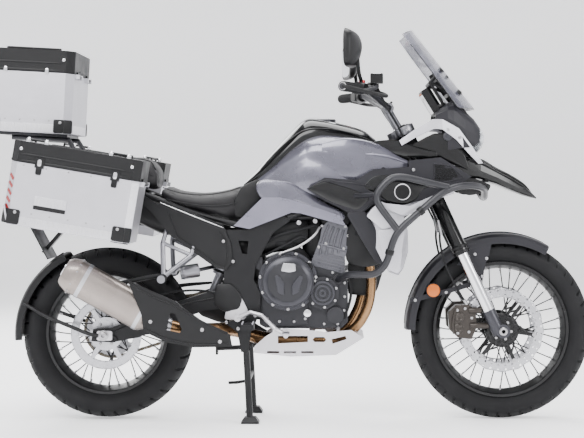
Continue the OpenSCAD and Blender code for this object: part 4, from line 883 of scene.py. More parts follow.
@dataclass
class Wheels:
    """Both wheels: tyres, rims, nipples, hubs, discs and sprocket details."""

    front: tuple[float, float, float] = (761.0, 0.0, 326.0)
    rear: tuple[float, float, float] = (-667.0, 0.0, 313.0)

    def build(self) -> None:
        """Builds every wheel piece."""
        Tyre("front_tyre", "front_wheel", self.front, 326.0, 241.0, 112.0, 46).build()
        Tyre("rear_tyre", "rear_wheel", self.rear, 309.0, 216.0, 160.0, 38).build()
        self.nipples("front", "front_wheel", self.front, 241.0, 36)
        self.nipples("rear", "rear_wheel", self.rear, 216.0, 36)
        self.discs()
        self.hub("front", "front_wheel", self.front, 26.0, 66.0)
        self.hub("rear", "rear_wheel", self.rear, 30.0, 66.0)
        dress("front_rim", "rim_black", 0.8)
        dress("rear_rim", "rim_black", 0.8)
        dress("rear_disc", "ground_steel", 0.5)
        self.sprocket_bolts()

    def nipples(self, name: str, body: str, centre: Sequence[float], bead: float, count: int) -> None:
        """Spoke nipples: small tapered collars standing off the rim well, one at each spoke's angle."""
        one = revolved([(0, 0), (3.6, 0), (3.9, 8), (2.9, 17), (0, 17)], 8)
        shells = []
        for k in range(count):
            t = 2 * np.pi * k / count
            side = 1 if k % 2 == 0 else -1
            out = np.array([-np.cos(t), 0.06 * side, -np.sin(t)])
            w = 2.5 if (k // 2) % 2 == 0 else -2.5
            spot = np.array(centre) + (bead - 16) * np.array([np.cos(t), 0, np.sin(t)]) + (0, 5 * side + w, 0)
            shells.append(one.moved(spot, turn_to(out)))
        piece(name + "_nipples", joined(shells), "zinc_bolt", body)

    def hub(self, name: str, body: str, centre: Sequence[float], radius: float, half: float) -> None:
        """Hub barrel between the spoke flanges, a waisted revolve about the axle with cast ridges."""
        y = np.linspace(-half * 0.72, half * 0.72, 26)
        r = radius + 9 + 4 * np.cos(y / half * np.pi) ** 2 + 1.2 * np.cos(y * 0.9)
        rows = [(11.5, y[0])] + list(zip(r, y)) + [(11.5, y[-1])]
        shell = revolved(rows, 40)
        turn = turn_to((0, 1, 0))
        piece(name + "_hub_barrel", shell.moved(centre, turn), "rim_black", body, closed=False)

    def discs(self) -> None:
        """Wavy drilled front rotors on dark carriers with floating buttons, and the rear rotor."""
        shells, carriers, buttons = [], [], []
        turn = turn_to((0, 1, 0))
        for side in (-1, 1):
            at = np.array(self.front) + (0, 70 * side, 0)
            shells.append(drilled_ring(152, 118, 5.0, 32, 2, 4.3, 4.0, 16).moved(at, turn))
            carriers.append(drilled_ring(62, 20, 5.6, 12, 1, 8.5).moved(at, turn))
            carriers.append(
                revolved(
                    [(19, -2.2), (60, -2.2), (60, 3.4), (19, 3.4)], 40
                ).moved(np.array(self.front) + (0, 66.1 * side, 0), turn)
            )
            for k in range(6):
                spin = about_y(60 * k + 8)
                arm = block((70, 4.6, 13), 0.3).moved((90, 0, 0))
                brace = block((40, 4.4, 7), 0.3).moved((0, 0, 0), about_y(38)).moved((76, 0, 12))
                for part in (arm, brace):
                    carriers.append(Shell(part.verts @ spin.T, part.quads).moved(at))
                hub = np.array([118.0, 0, 0]) @ spin.T
                buttons += scattered(
                    revolved(
                        [
                            (0, -4.2), (7.5, -4.2), (7.5, -3.2), (5, -3.2), (5, 3.2), (7.5, 3.2),
                            (7.5, 4.2), (0, 4.2)
                        ],
                        16
                    ),
                    [hub + at], (0, 1, 0)
                )
                low = np.array([34.0, 3.4 * side, 0]) @ spin.T
                buttons += scattered(bolt(5.5, 3.5), [low + at], (0, side, 0))
        piece("front_rotors", joined(shells), "ground_steel", "front_wheel", ["front_discs"])
        piece("front_rotor_carriers", joined(carriers), "rim_black", "front_wheel")
        piece("front_rotor_buttons", joined(buttons), "zinc_bolt", "front_wheel")
        at = np.array(self.rear) + (0, -73, 0)
        rotor = drilled_ring(128, 98, 5.6, 28, 2, 3.8, 3.0, 14).moved(at, turn)
        piece("rear_rotor_face", rotor, "ground_steel", "rear_wheel")
        spots = [np.array([40 * np.cos(t), -3, 40 * np.sin(t)]) + at for t in np.arange(6) * np.pi / 3]
        piece(
            "rear_rotor_bolts", joined(scattered(bolt(5.5, 4), spots, (0, -1, 0))), "zinc_bolt",
            "rear_wheel"
        )

    def sprocket_bolts(self) -> None:
        """Nuts that hold the rear sprocket to its carrier."""
        t = np.arange(6) * np.pi / 3
        spots = np.array(self.rear) + np.stack([46 * np.cos(t), 96 + 0 * t, 46 * np.sin(t)], -1)
        piece(
            "sprocket_nuts", joined(scattered(bolt(7, 5), spots, (0, 1, 0))), "zinc_bolt", "rear_wheel",
        )


@dataclass
class Chain:
    """Roller chain: rollers and four side plates to a pitch, evenly on the line round both sprockets."""

    rear: tuple[float, float, float] = (-667.0, 313.0, 102.0)
    front: tuple[float, float, float] = (-100.0, 425.0, 38.0)
    y: float = 93.5
    links: int = 104

    def line(self) -> np.ndarray:
        """Points on the loop, evenly spaced: two arcs joined by their outer tangents."""
        (x0, z0, r0), (x1, z1, r1) = self.rear, self.front
        d = np.hypot(x1 - x0, z1 - z0)
        base, lift = np.arctan2(z1 - z0, x1 - x0), np.arccos((r0 - r1) / d)
        a = np.linspace(base + lift, base + 2 * np.pi - lift, 240)
        b = np.linspace(base - lift, base + lift, 80)
        pts = np.vstack(
            [
                np.stack([x0 + r0 * np.cos(a), z0 + r0 * np.sin(a)], -1),
                np.stack([x1 + r1 * np.cos(b), z1 + r1 * np.sin(b)], -1)
            ]
        )
        pts = np.vstack([pts, pts[:1]])
        s = np.concatenate([[0], np.cumsum(np.linalg.norm(np.diff(pts, axis=0), axis=1))])
        t = np.linspace(0, s[-1], self.links, endpoint=False)
        return np.stack([np.interp(t, s, pts[:, 0]), np.interp(t, s, pts[:, 1])], -1)

    def build(self) -> None:
        """Sets rollers and plates along the loop, and the small front sprocket inside it."""
        p = self.line()
        q = np.roll(p, -1, 0)
        roller = revolved([(0, -5), (4.6, -5), (4.6, 5), (0, 5)], 10)
        plate = block((23, 1.5, 10.5), 0.5)
        rollers, plates = scattered(roller, [(a[0], self.y, a[1]) for a in p], (0, 1, 0)), []
        for k, (a, b) in enumerate(zip(p, q)):
            tilt = about_y(-np.degrees(np.arctan2(b[1] - a[1], b[0] - a[0])))
            gap = 5.6 if k % 2 else 4.0
            for side in (-1, 1):
                plates.append(plate.moved(((a[0] + b[0]) / 2, self.y + side * gap, (a[1] + b[1]) / 2), tilt))
        piece("chain_rollers", joined(rollers), "ground_steel", "frame", ["drive_chain"])
        piece("chain_plates", joined(plates), "chain_steel", "frame")
        t = np.linspace(0, 2 * np.pi, 120, endpoint=False)
        r = 32.5 + 2.2 * np.cos(15 * t)
        rows = [(0 * t, -2.5), (r, -2.5), (r, 2.5), (0 * t, 2.5)]
        pts = np.stack(
            [
                np.stack(
                    [self.front[0] + k * np.cos(t), self.y + y + 0 * t, self.front[1] + k * np.sin(t)], -1
                )
                for k, y in rows
            ]
        )
        piece("front_sprocket", grid(pts, wrap_v=True), "chain_steel", "frame")


def leg_x(z: float) -> float:
    """Where the fork leg's axis is at that height."""
    return 896 - 0.4663 * z


@dataclass
class Fork:
    """Fork legs, guards, calipers' bolts, hoses and the fender's fittings."""

    half: float = 100.0
    down: tuple[float, float, float] = (-0.4226, 0.0, 0.9063)

    def build(self) -> None:
        """Dresses the fork's nodes and adds chrome, seals, bolts, hoses and reflectors."""
        dress("triple_clamps", "cast_alloy", 1.2)
        dress("fork_outer_tubes", "gloss_black_abs", 0.8)
        dress("fork_inner_tubes", "engine_cover", 1.0)
        dress("front_calipers", "caliper_paint", 2.0)
        chrome, collars, bolts = [], [], []
        for side in (-1, 1):
            y = self.half * side
            chrome.append(swept(np.array([(leg_x(z), y, z) for z in np.linspace(398, 603, 6)]), 21.9, 32))
            turn = turn_to(self.down)
            ring = [
                (21.6, 0), (27, 0), (31, 4), (31, 12), (28.6, 14), (28.6, 20), (30.5, 22), (30.5, 30),
                (27.2, 33)
            ]
            collars.append(revolved(ring, 40).moved((leg_x(604), y, 604), turn))
            cap = [(0, 6), (9, 6), (10, 3), (19, 3), (21, 0), (27.3, 0), (27.3, -10)]
            collars.append(revolved(cap[::-1], 32).moved((leg_x(1060), y, 1060), turn))
            for z in (845, 867, 1023, 1045):
                bolts += scattered(bolt(5.0, 5.0), [(leg_x(z) + 6, y + 36.5 * side, z)], (0.3, side, 0))
            axle = [(7.2, 0), (15, 0), (15, 6), (12, 9), (7.2, 9), (7.2, 0)]
            bolts.append(revolved(axle, 24).moved((761, (self.half + 22) * side, 326), turn_to((0, side, 0))))
            for x, z in ((600, 318), (640, 322), (650, 372), (598, 400), (626, 406)):
                bolts += scattered(bolt(5.5, 4.0), [(x, 98 * side, z)], (0, side, 0))
        piece("fork_chrome", joined(chrome), "polished_steel", "fork")
        piece("fork_collars", joined(collars), "black_bolt", "fork", closed=False)
        piece("fork_bolts", joined(bolts), "zinc_bolt", "fork")
        self.caliper_faces()
        self.fender()
        self.hoses()

    def caliper_faces(self) -> None:
        """Raised piston bosses and a bridge rib on each front caliper."""
        shells = []
        for side in (-1, 1):
            for x, z in ((602, 336), (606, 376)):
                boss = revolved([(0, 0), (17, 0), (16, 4), (12, 5.5), (10, 4), (0, 4)], 28)
                shells.append(boss.moved((x, 97.5 * side, z), turn_to((0, side, 0))))
            shells.append(
                tube([(586, 99 * side, 316), (582, 100 * side, 356), (592, 99 * side, 404)], 5, 20, 12)
            )
        piece("caliper_bosses", joined(shells), "caliper_paint", "fork")

    def fender(self) -> None:
        """Front mudguard dressing: its finish, a raised spine, its bolts and the amber side reflectors."""
        dress("front_fender", "charcoal_abs", 1.2)
        t = np.radians(np.linspace(63, 177, 60))
        r = 351.0
        spine = np.stack([761 + r * np.cos(t), 0 * t, 326 + r * np.sin(t)], -1)
        piece(
            "fender_spine", swept(spine, 4.2 * np.sin(np.linspace(0.15, np.pi - 0.15, 60)) + 0.6, 10),
            "charcoal_abs", "fork"
        )
        spots = [(690, 71, 520), (706, 71, 585), (664, 71, 600), (560, 71, 462), (448, 71, 434)]
        bolts = [
            s
            for side in (-1, 1) for s in scattered(
                bolt(6.0, 3.5), [(x, y * side, z) for x, y, z in spots], (0, side, 0)
            )
        ]
        piece("fender_bolts", joined(bolts), "zinc_bolt", "fork")
        lens = [(0, 0), (24, 0), (24, 3), (22, 5), (20.5, 5.6), (0, 6.4)]
        cup = [(24, -2), (26.5, -2), (26.5, 4.5), (24.2, 4.5)]
        lenses = [revolved(lens, 36).moved((513, 80 * side, 470), turn_to((0, side, 0))) for side in (-1, 1)]
        cups = [revolved(cup, 36).moved((513, 80 * side, 470), turn_to((0, side, 0))) for side in (-1, 1)]
        piece("side_reflectors", joined(lenses), "amber_reflector", "fork")
        piece("reflector_cups", joined(cups), "black_abs", "fork", closed=False)

    def hoses(self) -> None:
        """Brake hoses from the calipers up to the bar, smooth round runs with crimped ends."""
        keys = [(632, 92, 421), (596, 106, 480), (556, 107, 560), (536, 106, 640), (535, 106, 700)]
        upper = [
            (528, 106, 716), (487, 112, 800), (426, 140, 940), (392, 148, 1040), (344, 204, 1120),
            (302, 252, 1200)
        ]
        hoses = both([tube(keys, 4.0, 50, 12), tube(upper, 4.0, 70, 12)])
        piece("brake_lines", hoses, "grip_rubber", "fork", ["brake_hoses"])
        ends = both(
            [
                tube([(632, 92, 421), (622, 95, 438)], 6, 4, 12, False),
                tube([(540, 106, 672), (528, 106, 724)], 6.2, 4, 12, False)
            ]
        )
        piece("brake_line_ends", ends, "zinc_bolt", "fork")


@dataclass
class Cockpit:
    """Bar, grips, levers, switches, mirrors, dash and screen."""

    def build(self) -> None:
        """Builds all that the rider holds or looks at."""
        dress("handlebar", "bar_powder", 0.8)
        dress("bar_controls", "black_abs", 1.6)
        dress("instrument_panel", "black_abs", 2.0)
        dress("screen_bracket", "black_abs", 0.8)
        self.grips()
        self.mirrors()
        self.dash()
        self.screen()

    @staticmethod
    def on_bar(t: float) -> np.ndarray:
        """Point on the straight outer part of the left bar."""
        return np.array([270 - 87 * t, 225 + 193 * t, 1186.0])

    def grips(self) -> None:
        """Ribbed grips, bar-end weights, switch pods and lever blades."""
        a, b = self.on_bar(0.36), self.on_bar(0.985)
        length = float(np.linalg.norm(b - a))
        s = np.linspace(0, length, 130)
        r = 17.1 + 0.9 * (np.sin(s * 2 * np.pi / 6.2) > 0.1) * (s > 9) * (s < length - 9) + 2.2 * (s < 6)
        turn = turn_to(b - a)
        grip = revolved([(11.6, 0)] + list(zip(r, s)) + [(11.6, length)], 28).moved(a, turn)
        piece("ribbed_grips", both([grip]), "grip_rubber", "fork", closed=False)
        end = revolved(
            [(0, 0), (15, 0), (16, 3), (16, 14), (13, 18), (0, 18)], 24
        ).moved(b + (b - a) / length * 0.5, turn)
        piece("bar_ends", both([end.moved(-(b - a) / length * 16)]), "zinc_bolt", "fork")
        pod_shell = pod(
            [(-22, 20, -17, 17, 3), (-10, 24, -20, 20, 3), (10, 24, -20, 20, 3), (22, 20, -17, 17, 3)], 10,
            28
        )
        yaw = about_z(np.degrees(np.arctan2(193, -87)) - 90)
        piece(
            "switch_pods", both([pod_shell.moved(self.on_bar(0.27), yaw)]), "black_abs", "fork",
        )
        keys = [(-8, 9, 20, 5), (4, 9, 21, 4), (-2, -8, 20, 6)]
        buttons = [block((9, 7, k), 0.4).moved(self.on_bar(0.27) + (x, y, zz)) for x, y, zz, k in keys]
        piece("switch_buttons", both(buttons), "charcoal_abs", "fork")
        lever = [
            self.on_bar(0.2) + (10, 0, 4), self.on_bar(0.2) + (58, 6, 10), self.on_bar(0.55) + (66, 0, -6),
            self.on_bar(0.9) + (58, 0, -16)
        ]
        piece("lever_blades", both([bar(lever, 6.6, 20, 14)]), "bar_powder", "fork")
        caps = both(
            [
                block((46, 54, 5), 0.3).moved(self.on_bar(0.14) + (46, 0, 50)),
                *scattered(
                    bolt(3, 2),
                    [self.on_bar(0.14) + (46 + dx, dy, 52) for dx in (-17, 17) for dy in (-20, 20)],
                    (0, 0, 1)
                )
            ]
        )
        piece("reservoir_caps", caps, "black_bolt", "fork")
        clamps = both(
            [
                revolved(
                    [(12, 0), (19, 0), (19, 12), (12, 12), (12, 0)], 24
                ).moved((352, y, 1128), turn_to((0, 1, 0)))
                for y in (26, 46)
            ]
        )
        piece("bar_clamp_bands", clamps, "cast_alloy", "fork")
        tops = both(
            scattered(
                bolt(4.5, 6), [(352 + dx, 42 + dy, 1147) for dx in (-11, 11) for dy in (-6, 6)], (0, 0, 1)
            )
        )
        piece("bar_clamp_bolts", tops, "black_bolt", "fork")
        collar = both(
            [
                revolved(
                    [(7.2, 0), (11, 0), (11.5, 2), (11.5, 8), (11, 10), (7.2, 10)], 24
                ).moved(self.on_bar(0.2) + (0, 0, 20))
            ]
        )
        piece("mirror_collars", collar, "red_anodised", "fork", closed=False)
        nut = revolved(
            [(0, 4), (9, 4), (10, 3), (15, 3), (16, 0), (22, 0), (22, -6)][::-1], 24
        ).moved((384, 0, 1050), turn_to((-0.4226, 0, 0.9063)))
        piece("stem_nut", nut, "polished_steel", "fork", closed=False)

    def mirrors(self) -> None:
        """Mirror shells as squared ovals, bent stems and flat glass."""
        yaw = about_z(10)
        st = [
            (-22, 84, -60, 60, 4), (-19, 90, -66, 66, 4.4), (0, 87, -62, 58, 4), (14, 66, -40, 46, 3),
            (24, 36, -16, 28, 2.4), (27, 14, -4, 14, 2)
        ]
        shell = pod(st, 30, 56).moved((222, 334, 1322), yaw)
        piece("mirror_shells", both([shell]), "black_abs", "fork", ["mirrors"])
        glass = pod([(-22.9, 78, -55, 55, 4), (-21.6, 78, -55, 55, 4)], 3, 56).moved((222, 334, 1322), yaw)
        piece("mirror_glass_plates", both([glass]), "mirror_glass", "fork")
        stem = bar([(252.6, 263.6, 1204), (240, 300, 1240), (236, 318, 1292)], 7.0, 26, 18)
        boot = swept(
            np.array([(237, 316, 1262), (236, 320, 1276), (234, 324, 1290)]), np.array([9.0, 12.0, 14.0]),
            20
        )
        piece("mirror_stems", both([stem, boot]), "black_bolt", "fork")

    def dash(self) -> None:
        """Display glass sunk in its housing, with a generic bar gauge and warning lamps."""
        turn, at = about_y(-32), (506, 0, 1150)
        glass = block((1.4, 158, 78), 0.1).moved((-14.1, 0, 0)).moved(at, turn)
        piece("display_glass_sheet", glass, "display_glass", "frame")
        t = np.radians(np.linspace(30, 150, 15))
        bars = [
            block((0.6, 2.4, 8), 0.2).moved((-15, 56 * np.cos(a), -18 + 44 * np.sin(a))).moved(at, turn)
            for a in t
        ]
        bars += [
            block((0.6, 26 - 6 * k, 2.0), 0.2).moved((-15, 0, -8 - 8 * k)).moved(at, turn) for k in range(3)
        ]
        piece("display_segments", joined(bars), "stripe_white", "frame")
        lamps = [
            block((2, 5, 5), 0.4).moved((-15.4, y, 43.2)).moved(at, turn)
            for y in (-60, -40, -20, 0, 20, 40, 60)
        ]
        piece("warning_lamps", joined(lamps), "amber_reflector", "frame")

    def screen(self) -> None:
        """Acrylic screen.

        The sheet runs up by u and across by v: x falls as 236 u and curls back as v squared, z rises as
        295 u, and the width grows a little, then tapers with the fourth power of u. The back face lies 4
        mm behind along its slope.
        """
        u = (0.03 + 0.97 * np.linspace(0, 1, 42))[:, None]
        v = np.linspace(-1, 1, 54)[None, :]
        x = 676 - 236 * u - (70 - 30 * u) * v**2
        z = 1118 + 295 * u - 22 * u * v**2
        y = v * (155 + 12 * u - 34 * u**4)
        face = np.stack([x, y, z], -1)
        back = face - np.array([3.12, 0, 2.4])
        ring = np.concatenate([face, back[:, ::-1]], 1)
        mid = (face + back) / 2
        end = np.concatenate([mid, mid[:, ::-1]], 1)
        pts = np.concatenate([end[:1], ring, end[-1:]], 0)
        piece(
            "acrylic_screen", grid(pts, wrap_v=True), "screen_acrylic", "frame",
            ["windshield"], sharp=50
        )
        edge = np.vstack([mid[::-1, 0], mid[0, 1:-1], mid[:, -1]])
        top = mid[-1]
        piece(
            "screen_edge", joined([swept(edge[6:-6], 1.5, 8), swept(top[4:-4], 1.4, 8)]), "gloss_black_abs",
            "frame"
        )
        carrier = [
            bar([(632, y, 1098), (592, y, 1152), (524, y, 1240), (514, y, 1258)], 8.5, 20, 16)
            for y in (-92, 92)
        ]
        carrier += [
            bar([(570, -96, 1178), (576, 0, 1182), (570, 96, 1178)], 7, 12, 14),
            bar([(528, -96, 1236), (536, 0, 1240), (528, 96, 1236)], 7, 12, 14)
        ]
        piece("screen_carrier", joined(carrier), "black_abs", "frame")
        spots = [(646 - 236 * uu + 14, 92 * s, 1118 + 295 * uu - 4) for uu in (0.22, 0.42) for s in (-1, 1)]
        piece("screen_bolts", joined(scattered(bolt(7, 5), spots, (0.78, 0, 0.6))), "black_bolt", "frame")


# ---------------------------------------------------------------- bodywork


@dataclass
class Tank:
    """Fuel tank, its gloss centre cover, filler and side creases."""

    hull: Sequence[Sequence[float]] = (
        (-140, 70, 835, 862, 3), (-118, 98, 800, 886, 3), (-60, 124, 776, 938, 2.9),
        (0, 150, 770, 990, 2.9), (50, 165, 768, 1026, 2.9), (104, 173, 768, 1043, 3),
        (166, 175, 770, 1039, 3.1), (230, 171, 780, 1024, 3.3), (285, 161, 800, 1004, 3.6)
    )
    wing: Sequence[Sequence[float]] = (
        (112, 12, 862, 1000, 2.6), (200, 20, 850, 1018, 2.6), (300, 19, 862, 1000, 2.6),
        (380, 17, 880, 955, 2.4), (416, 10, 905, 938, 2.2)
    )
    cover: Sequence[Sequence[float]] = (
        (-172, 60, 838, 858, 2.6), (-120, 88, 840, 912, 2.5), (-80, 98, 850, 958, 2.5),
        (-15, 108, 900, 1030, 2.5), (49, 112, 940, 1088, 2.5), (110, 112, 960, 1088, 2.7),
        (178, 108, 960, 1074, 2.7), (260, 102, 960, 1050, 2.7), (306, 92, 975, 1016, 2.8)
    )

    def build(self) -> None:
        """Builds the painted tank, its cover, the filler and the ridge strips."""
        main = self.folded(pod(self.hull, 140, 160))
        side = pod(self.wing, 50, 48).moved((0, 155, 0))
        piece(
            "tank_shell", joined([main, side, side.mirrored()]), "tank_lacquer", "frame",
            ["fuel_tank"]
        )
        piece(
            "tank_cover_shell", pod(self.cover, 80, 72), "gloss_black_abs", "frame",
            ["tank_top_cover"]
        )
        self.creases()
        self.filler()

    def folded(self, shell: Shell) -> Shell:
        """Presses a shoulder fold and a knee hollow into the tank's flanks.

        With d the height above the fold line z0(x), points above it lean in by 0.2 d, and points below
        sink by 7 mm * exp(-((d + 60) / 30)^2). Both fade out over the top and towards the ends.
        """
        v = shell.verts.copy()
        line = np.interp(v[:, 0], [-120, -40, 55, 110, 222, 244, 290], [880, 950, 1006, 996, 956, 962, 950])
        d = v[:, 2] - line
        fade = np.clip((np.abs(v[:, 1]) - 40) / 60, 0, 1) * np.clip((v[:, 0] + 120) / 60, 0, 1)
        lean = 0.2 * np.clip(d, 0, 60) + 7 * np.exp(-(((d + 60) / 30) ** 2))
        v[:, 1] -= np.sign(v[:, 1]) * lean * fade
        return Shell(v, shell.quads)

    def creases(self) -> None:
        """Lower flank panels that close the tank down to its trim, raised ridge lines along the wings whose
        lighter lacquer is a painted highlight on that edge, and the gloss cover's seam.
        """
        flank = [
            (-129, 852), (-101, 872), (0, 862), (60, 826), (110, 792), (200, 748), (192, 716), (100, 748),
            (30, 778), (-30, 802), (-107, 796)
        ]
        skins = [panel(flank, -120, -157, 6.0, 6.0, 2).mirrored()]
        piece("tank_flank_panels", both(skins), "tank_lacquer", "frame")
        # raised line along each tank wing's ridge: the ridge is shaped, and its lighter trim lacquer is a
        # painted highlight along that edge
        wing_line = spline([(244, 168, 962), (300, 175, 958), (352, 176, 950), (410, 168, 930)], 50)
        swell = 4.0 * np.sin(np.linspace(0.12, np.pi - 0.12, 50)) ** 0.6
        piece(
            "tank_feature_lines", both([swept(wing_line, swell, 12)]), "trim_lacquer", "frame"
        )
        seam = spline(
            [
                (-110, 92, 905), (-60, 98, 962), (0, 106, 1016), (50, 110, 1046), (120, 110, 1052),
                (200, 106, 1040), (285, 98, 1010)
            ],
            70
        )
        piece("cover_seam", both([swept(seam, 2.2, 8)]), "black_abs", "frame")

    def filler(self) -> None:
        """Filler cap: a stepped round lid with a ring of screws."""
        rows = [(45, -6), (46, 0), (46, 4), (43, 6.5), (34, 7), (32.5, 5.4), (12, 5.4), (10, 6.4), (0, 6.6)]
        piece(
            "filler_cap", revolved(rows, 56).moved((116, 0, 1083)), "engine_cover", "frame",
            closed=False
        )
        t = np.arange(6) * np.pi / 3
        spots = np.stack([116 + 39 * np.cos(t), 39 * np.sin(t), 1089.6 + 0 * t], -1)
        piece("filler_screws", joined(scattered(bolt(3.2, 2.2), spots, (0, 0, 1))), "zinc_bolt", "frame")


@dataclass
class Fairing:
    """Side fairings, shrouds, nose, beak, lamp, and their trim."""

    def build(self) -> None:
        """Dresses the panels and adds their inserts, grille, badge, bolts and lamp."""
        dress("side_fairings", "charcoal_abs", 2.5)
        dress("radiator_shrouds", "silver_lacquer", 2.0)
        dress("cowl_trim", "silver_lacquer", 2.0)
        dress("nose_cowl", "charcoal_abs", 1.5)
        dress("beak", "gloss_black_abs", 1.5)
        dress("tank_lower_trim", "trim_lacquer", 3.0)
        dress("side_covers", "black_abs", 2.5)
        dress("tail_light", "black_abs", 1.5)
        self.inserts()
        self.inner_panels()
        self.badge()
        self.grille()
        self.shroud_folds()
        self.beak_ridges()
        self.lamp()
        self.tail()
        self.undertray()
        self.fasteners()

    def inserts(self) -> None:
        """Gloss inserts in the fairing, the badge's panel and the long one behind it, and its legs."""
        badge_panel = [
            (255, 845), (297, 884), (356, 887), (451, 867), (508, 848), (462, 833), (451, 800), (406, 778),
            (356, 784), (311, 812)
        ]
        lens = [(60, 838), (124, 864), (214, 838), (288, 808), (240, 760), (150, 788)]
        leg = [(196, 752), (266, 760), (300, 700), (336, 622), (336, 578), (306, 570), (262, 640)]
        piece(
            "fairing_legs", both([panel(leg, -196, -207.4, 2.4, 2.0, 2).mirrored()]), "charcoal_abs",
            "frame"
        )
        face = [panel(badge_panel, -198, -206.6, 1.6, 1.4, 2), panel(lens, -198, -206.8, 2.4, 1.6, 2)]
        piece("gloss_inserts", both([s.mirrored() for s in face]), "gloss_black_abs", "frame")
        rim = np.array([(60, 838), (124, 866), (180, 860), (240, 854), (292, 842)], float)
        line = np.stack([spline(rim, 40)[:, 0], np.full(40, 207.0), spline(rim, 40)[:, 1]], -1)
        low = np.array([(62, 832), (150, 784), (240, 754), (300, 800)], float)
        under = np.stack([spline(low, 40)[:, 0], np.full(40, 206.5), spline(low, 40)[:, 1]], -1)
        swell = 3.4 * np.sin(np.linspace(0.1, np.pi - 0.1, 40)) ** 0.5
        piece(
            "fairing_feature_lines", both([swept(line, swell, 10), swept(under, swell * 0.8, 10)]),
            "charcoal_abs", "frame"
        )

    def inner_panels(self) -> None:
        """Dark panels behind the silver arch and beside the radiator, which close the view through."""
        rear = [(290, 1006), (372, 1014), (436, 990), (528, 966), (520, 944), (414, 948), (340, 966)]
        front = [(430, 992), (512, 1036), (552, 1030), (622, 954), (640, 900), (530, 940)]
        top = [(436, 984), (478, 1018), (528, 1036), (592, 1038), (606, 1000), (540, 958), (460, 964)]
        shells = [
            panel(rear, -140, -150, 3, 2, 2), panel(front, -132, -141, 3, 2, 1),
            panel(top, -132, -139, 2, 2, 1)
        ]
        piece(
            "arch_inner_panels", both([s.mirrored() for s in shells]), "gloss_black_abs", "frame",
        )
        side = [(196, 572), (202, 700), (244, 756), (300, 720), (330, 640), (322, 566), (262, 552)]
        piece(
            "radiator_side_ducts", both([panel(side, -88, -112, 8, 5, 3).mirrored()]), "black_abs", "frame",
        )
        screws = scattered(bolt(5.5, 4), [(258, 119, 700), (300, 117, 610)], (0, 1, 0))
        piece("duct_screws", both(screws), "black_bolt", "frame")

    def badge(self) -> None:
        """Round badge: raised pale ring round a dark disc, with no mark on it."""
        turn = turn_to((0, 1, 0))
        ring = revolved(
            [(26, 0), (26, 3), (26.6, 3.6), (28.2, 3.6), (28.8, 3), (28.8, 0), (26, 0)], 64
        ).moved((396, 207.6, 826), turn)
        disc = revolved([(0, 0), (25.2, 0), (25.2, 2.2), (0, 2.8)], 48).moved((396, 207.6, 826), turn)
        piece("badge_rings", both([ring]), "badge_enamel", "frame")
        piece("badge_discs", both([disc]), "black_abs", "frame")

    def grille(self) -> None:
        """Hex grille: six-sided cups in rows offset by half a pitch inside a four-cornered field."""
        corners = np.array([(508, 926), (566, 918), (612, 876), (506, 850)], float)
        cup = revolved([(0, -1), (6.2, -1), (6.2, 0.6), (5.2, 2.4), (3.6, 2.4), (2.6, 0.2), (0, 0.2)], 6)
        xs, zs = np.meshgrid(np.arange(500, 620, 13.0), np.arange(850, 930, 11.0), indexing="ij")
        xs = xs + 6.5 * (np.arange(xs.shape[1]) % 2)[None]
        pts = np.stack([xs.ravel(), zs.ravel()], -1)
        inside = np.ones(len(pts), bool)
        for a, b in zip(corners, np.roll(corners, -1, 0)):
            e = b - a
            inside &= (e[0] * (pts[:, 1] - a[1]) - e[1] * (pts[:, 0] - a[0])) / np.linalg.norm(e) < -5
        spots = [(x, 206.8, z) for x, z in pts[inside]]
        turn = turn_to((0, 1, 0))
        piece(
            "hex_grille", both([cup.moved(s, turn) for s in spots]), "black_abs", "frame",
            closed=False, sharp=30
        )
        frame_line = np.array([(x, 207, z) for x, z in np.vstack([corners, corners[:1]])])
        piece(
            "grille_border", both([bar(frame_line, 2.4, 8, 10)]), "charcoal_abs", "frame",
        )

    def shroud_folds(self) -> None:
        """Folded silver facets over the shroud: crowned panels that follow its sloping face."""
        upper = [(268, 742), (314, 792), (352, 776), (384, 752), (366, 704), (330, 690)]
        blade = [(316, 790), (396, 760), (470, 797), (520, 822), (474, 776), (398, 742), (340, 764)]
        lower = [
            (306, 690), (374, 700), (408, 690), (410, 622), (394, 562), (378, 540), (348, 552), (330, 580)
        ]
        shells = [
            panel(upper, -228, -233, 3.0, 1.5, 1),
            panel(lower, -240, -246, 5.0, 1.5, 1),
            panel(blade, -247, -252, 2.0, 1.2, 1),
        ]
        piece("shroud_facets", both([s.mirrored() for s in shells]), "silver_lacquer", "frame")

    def beak_ridges(self) -> None:
        """Long ridges on the beak, slim spindles that meet at its tip."""
        shells = []
        for y0, z0, r in ((112, 938, 5.5), (76, 947, 6.5), (0, 948, 3.5)):
            keys = [
                (600, y0, z0), (680, y0 * 0.86, z0 - 6), (740, y0 * 0.68, z0 - 37),
                (800, y0 * 0.46, z0 - 66), (850, y0 * 0.26, z0 - 98), (884, y0 * 0.1, 808)
            ]
            line = spline(keys, 60)
            shells.append(swept(line, r * np.linspace(1, 0.35, 60), 12))
        piece("beak_ridge_lines", both(shells[:2]), "gloss_black_abs", "frame")
        chin = panel(
            [(600, 880), (664, 872), (720, 850), (706, 824), (640, 812), (598, 824)], -104, -112, 3, 3, 2
        )
        piece("beak_chin_sides", both([chin.mirrored()]), "black_abs", "frame")

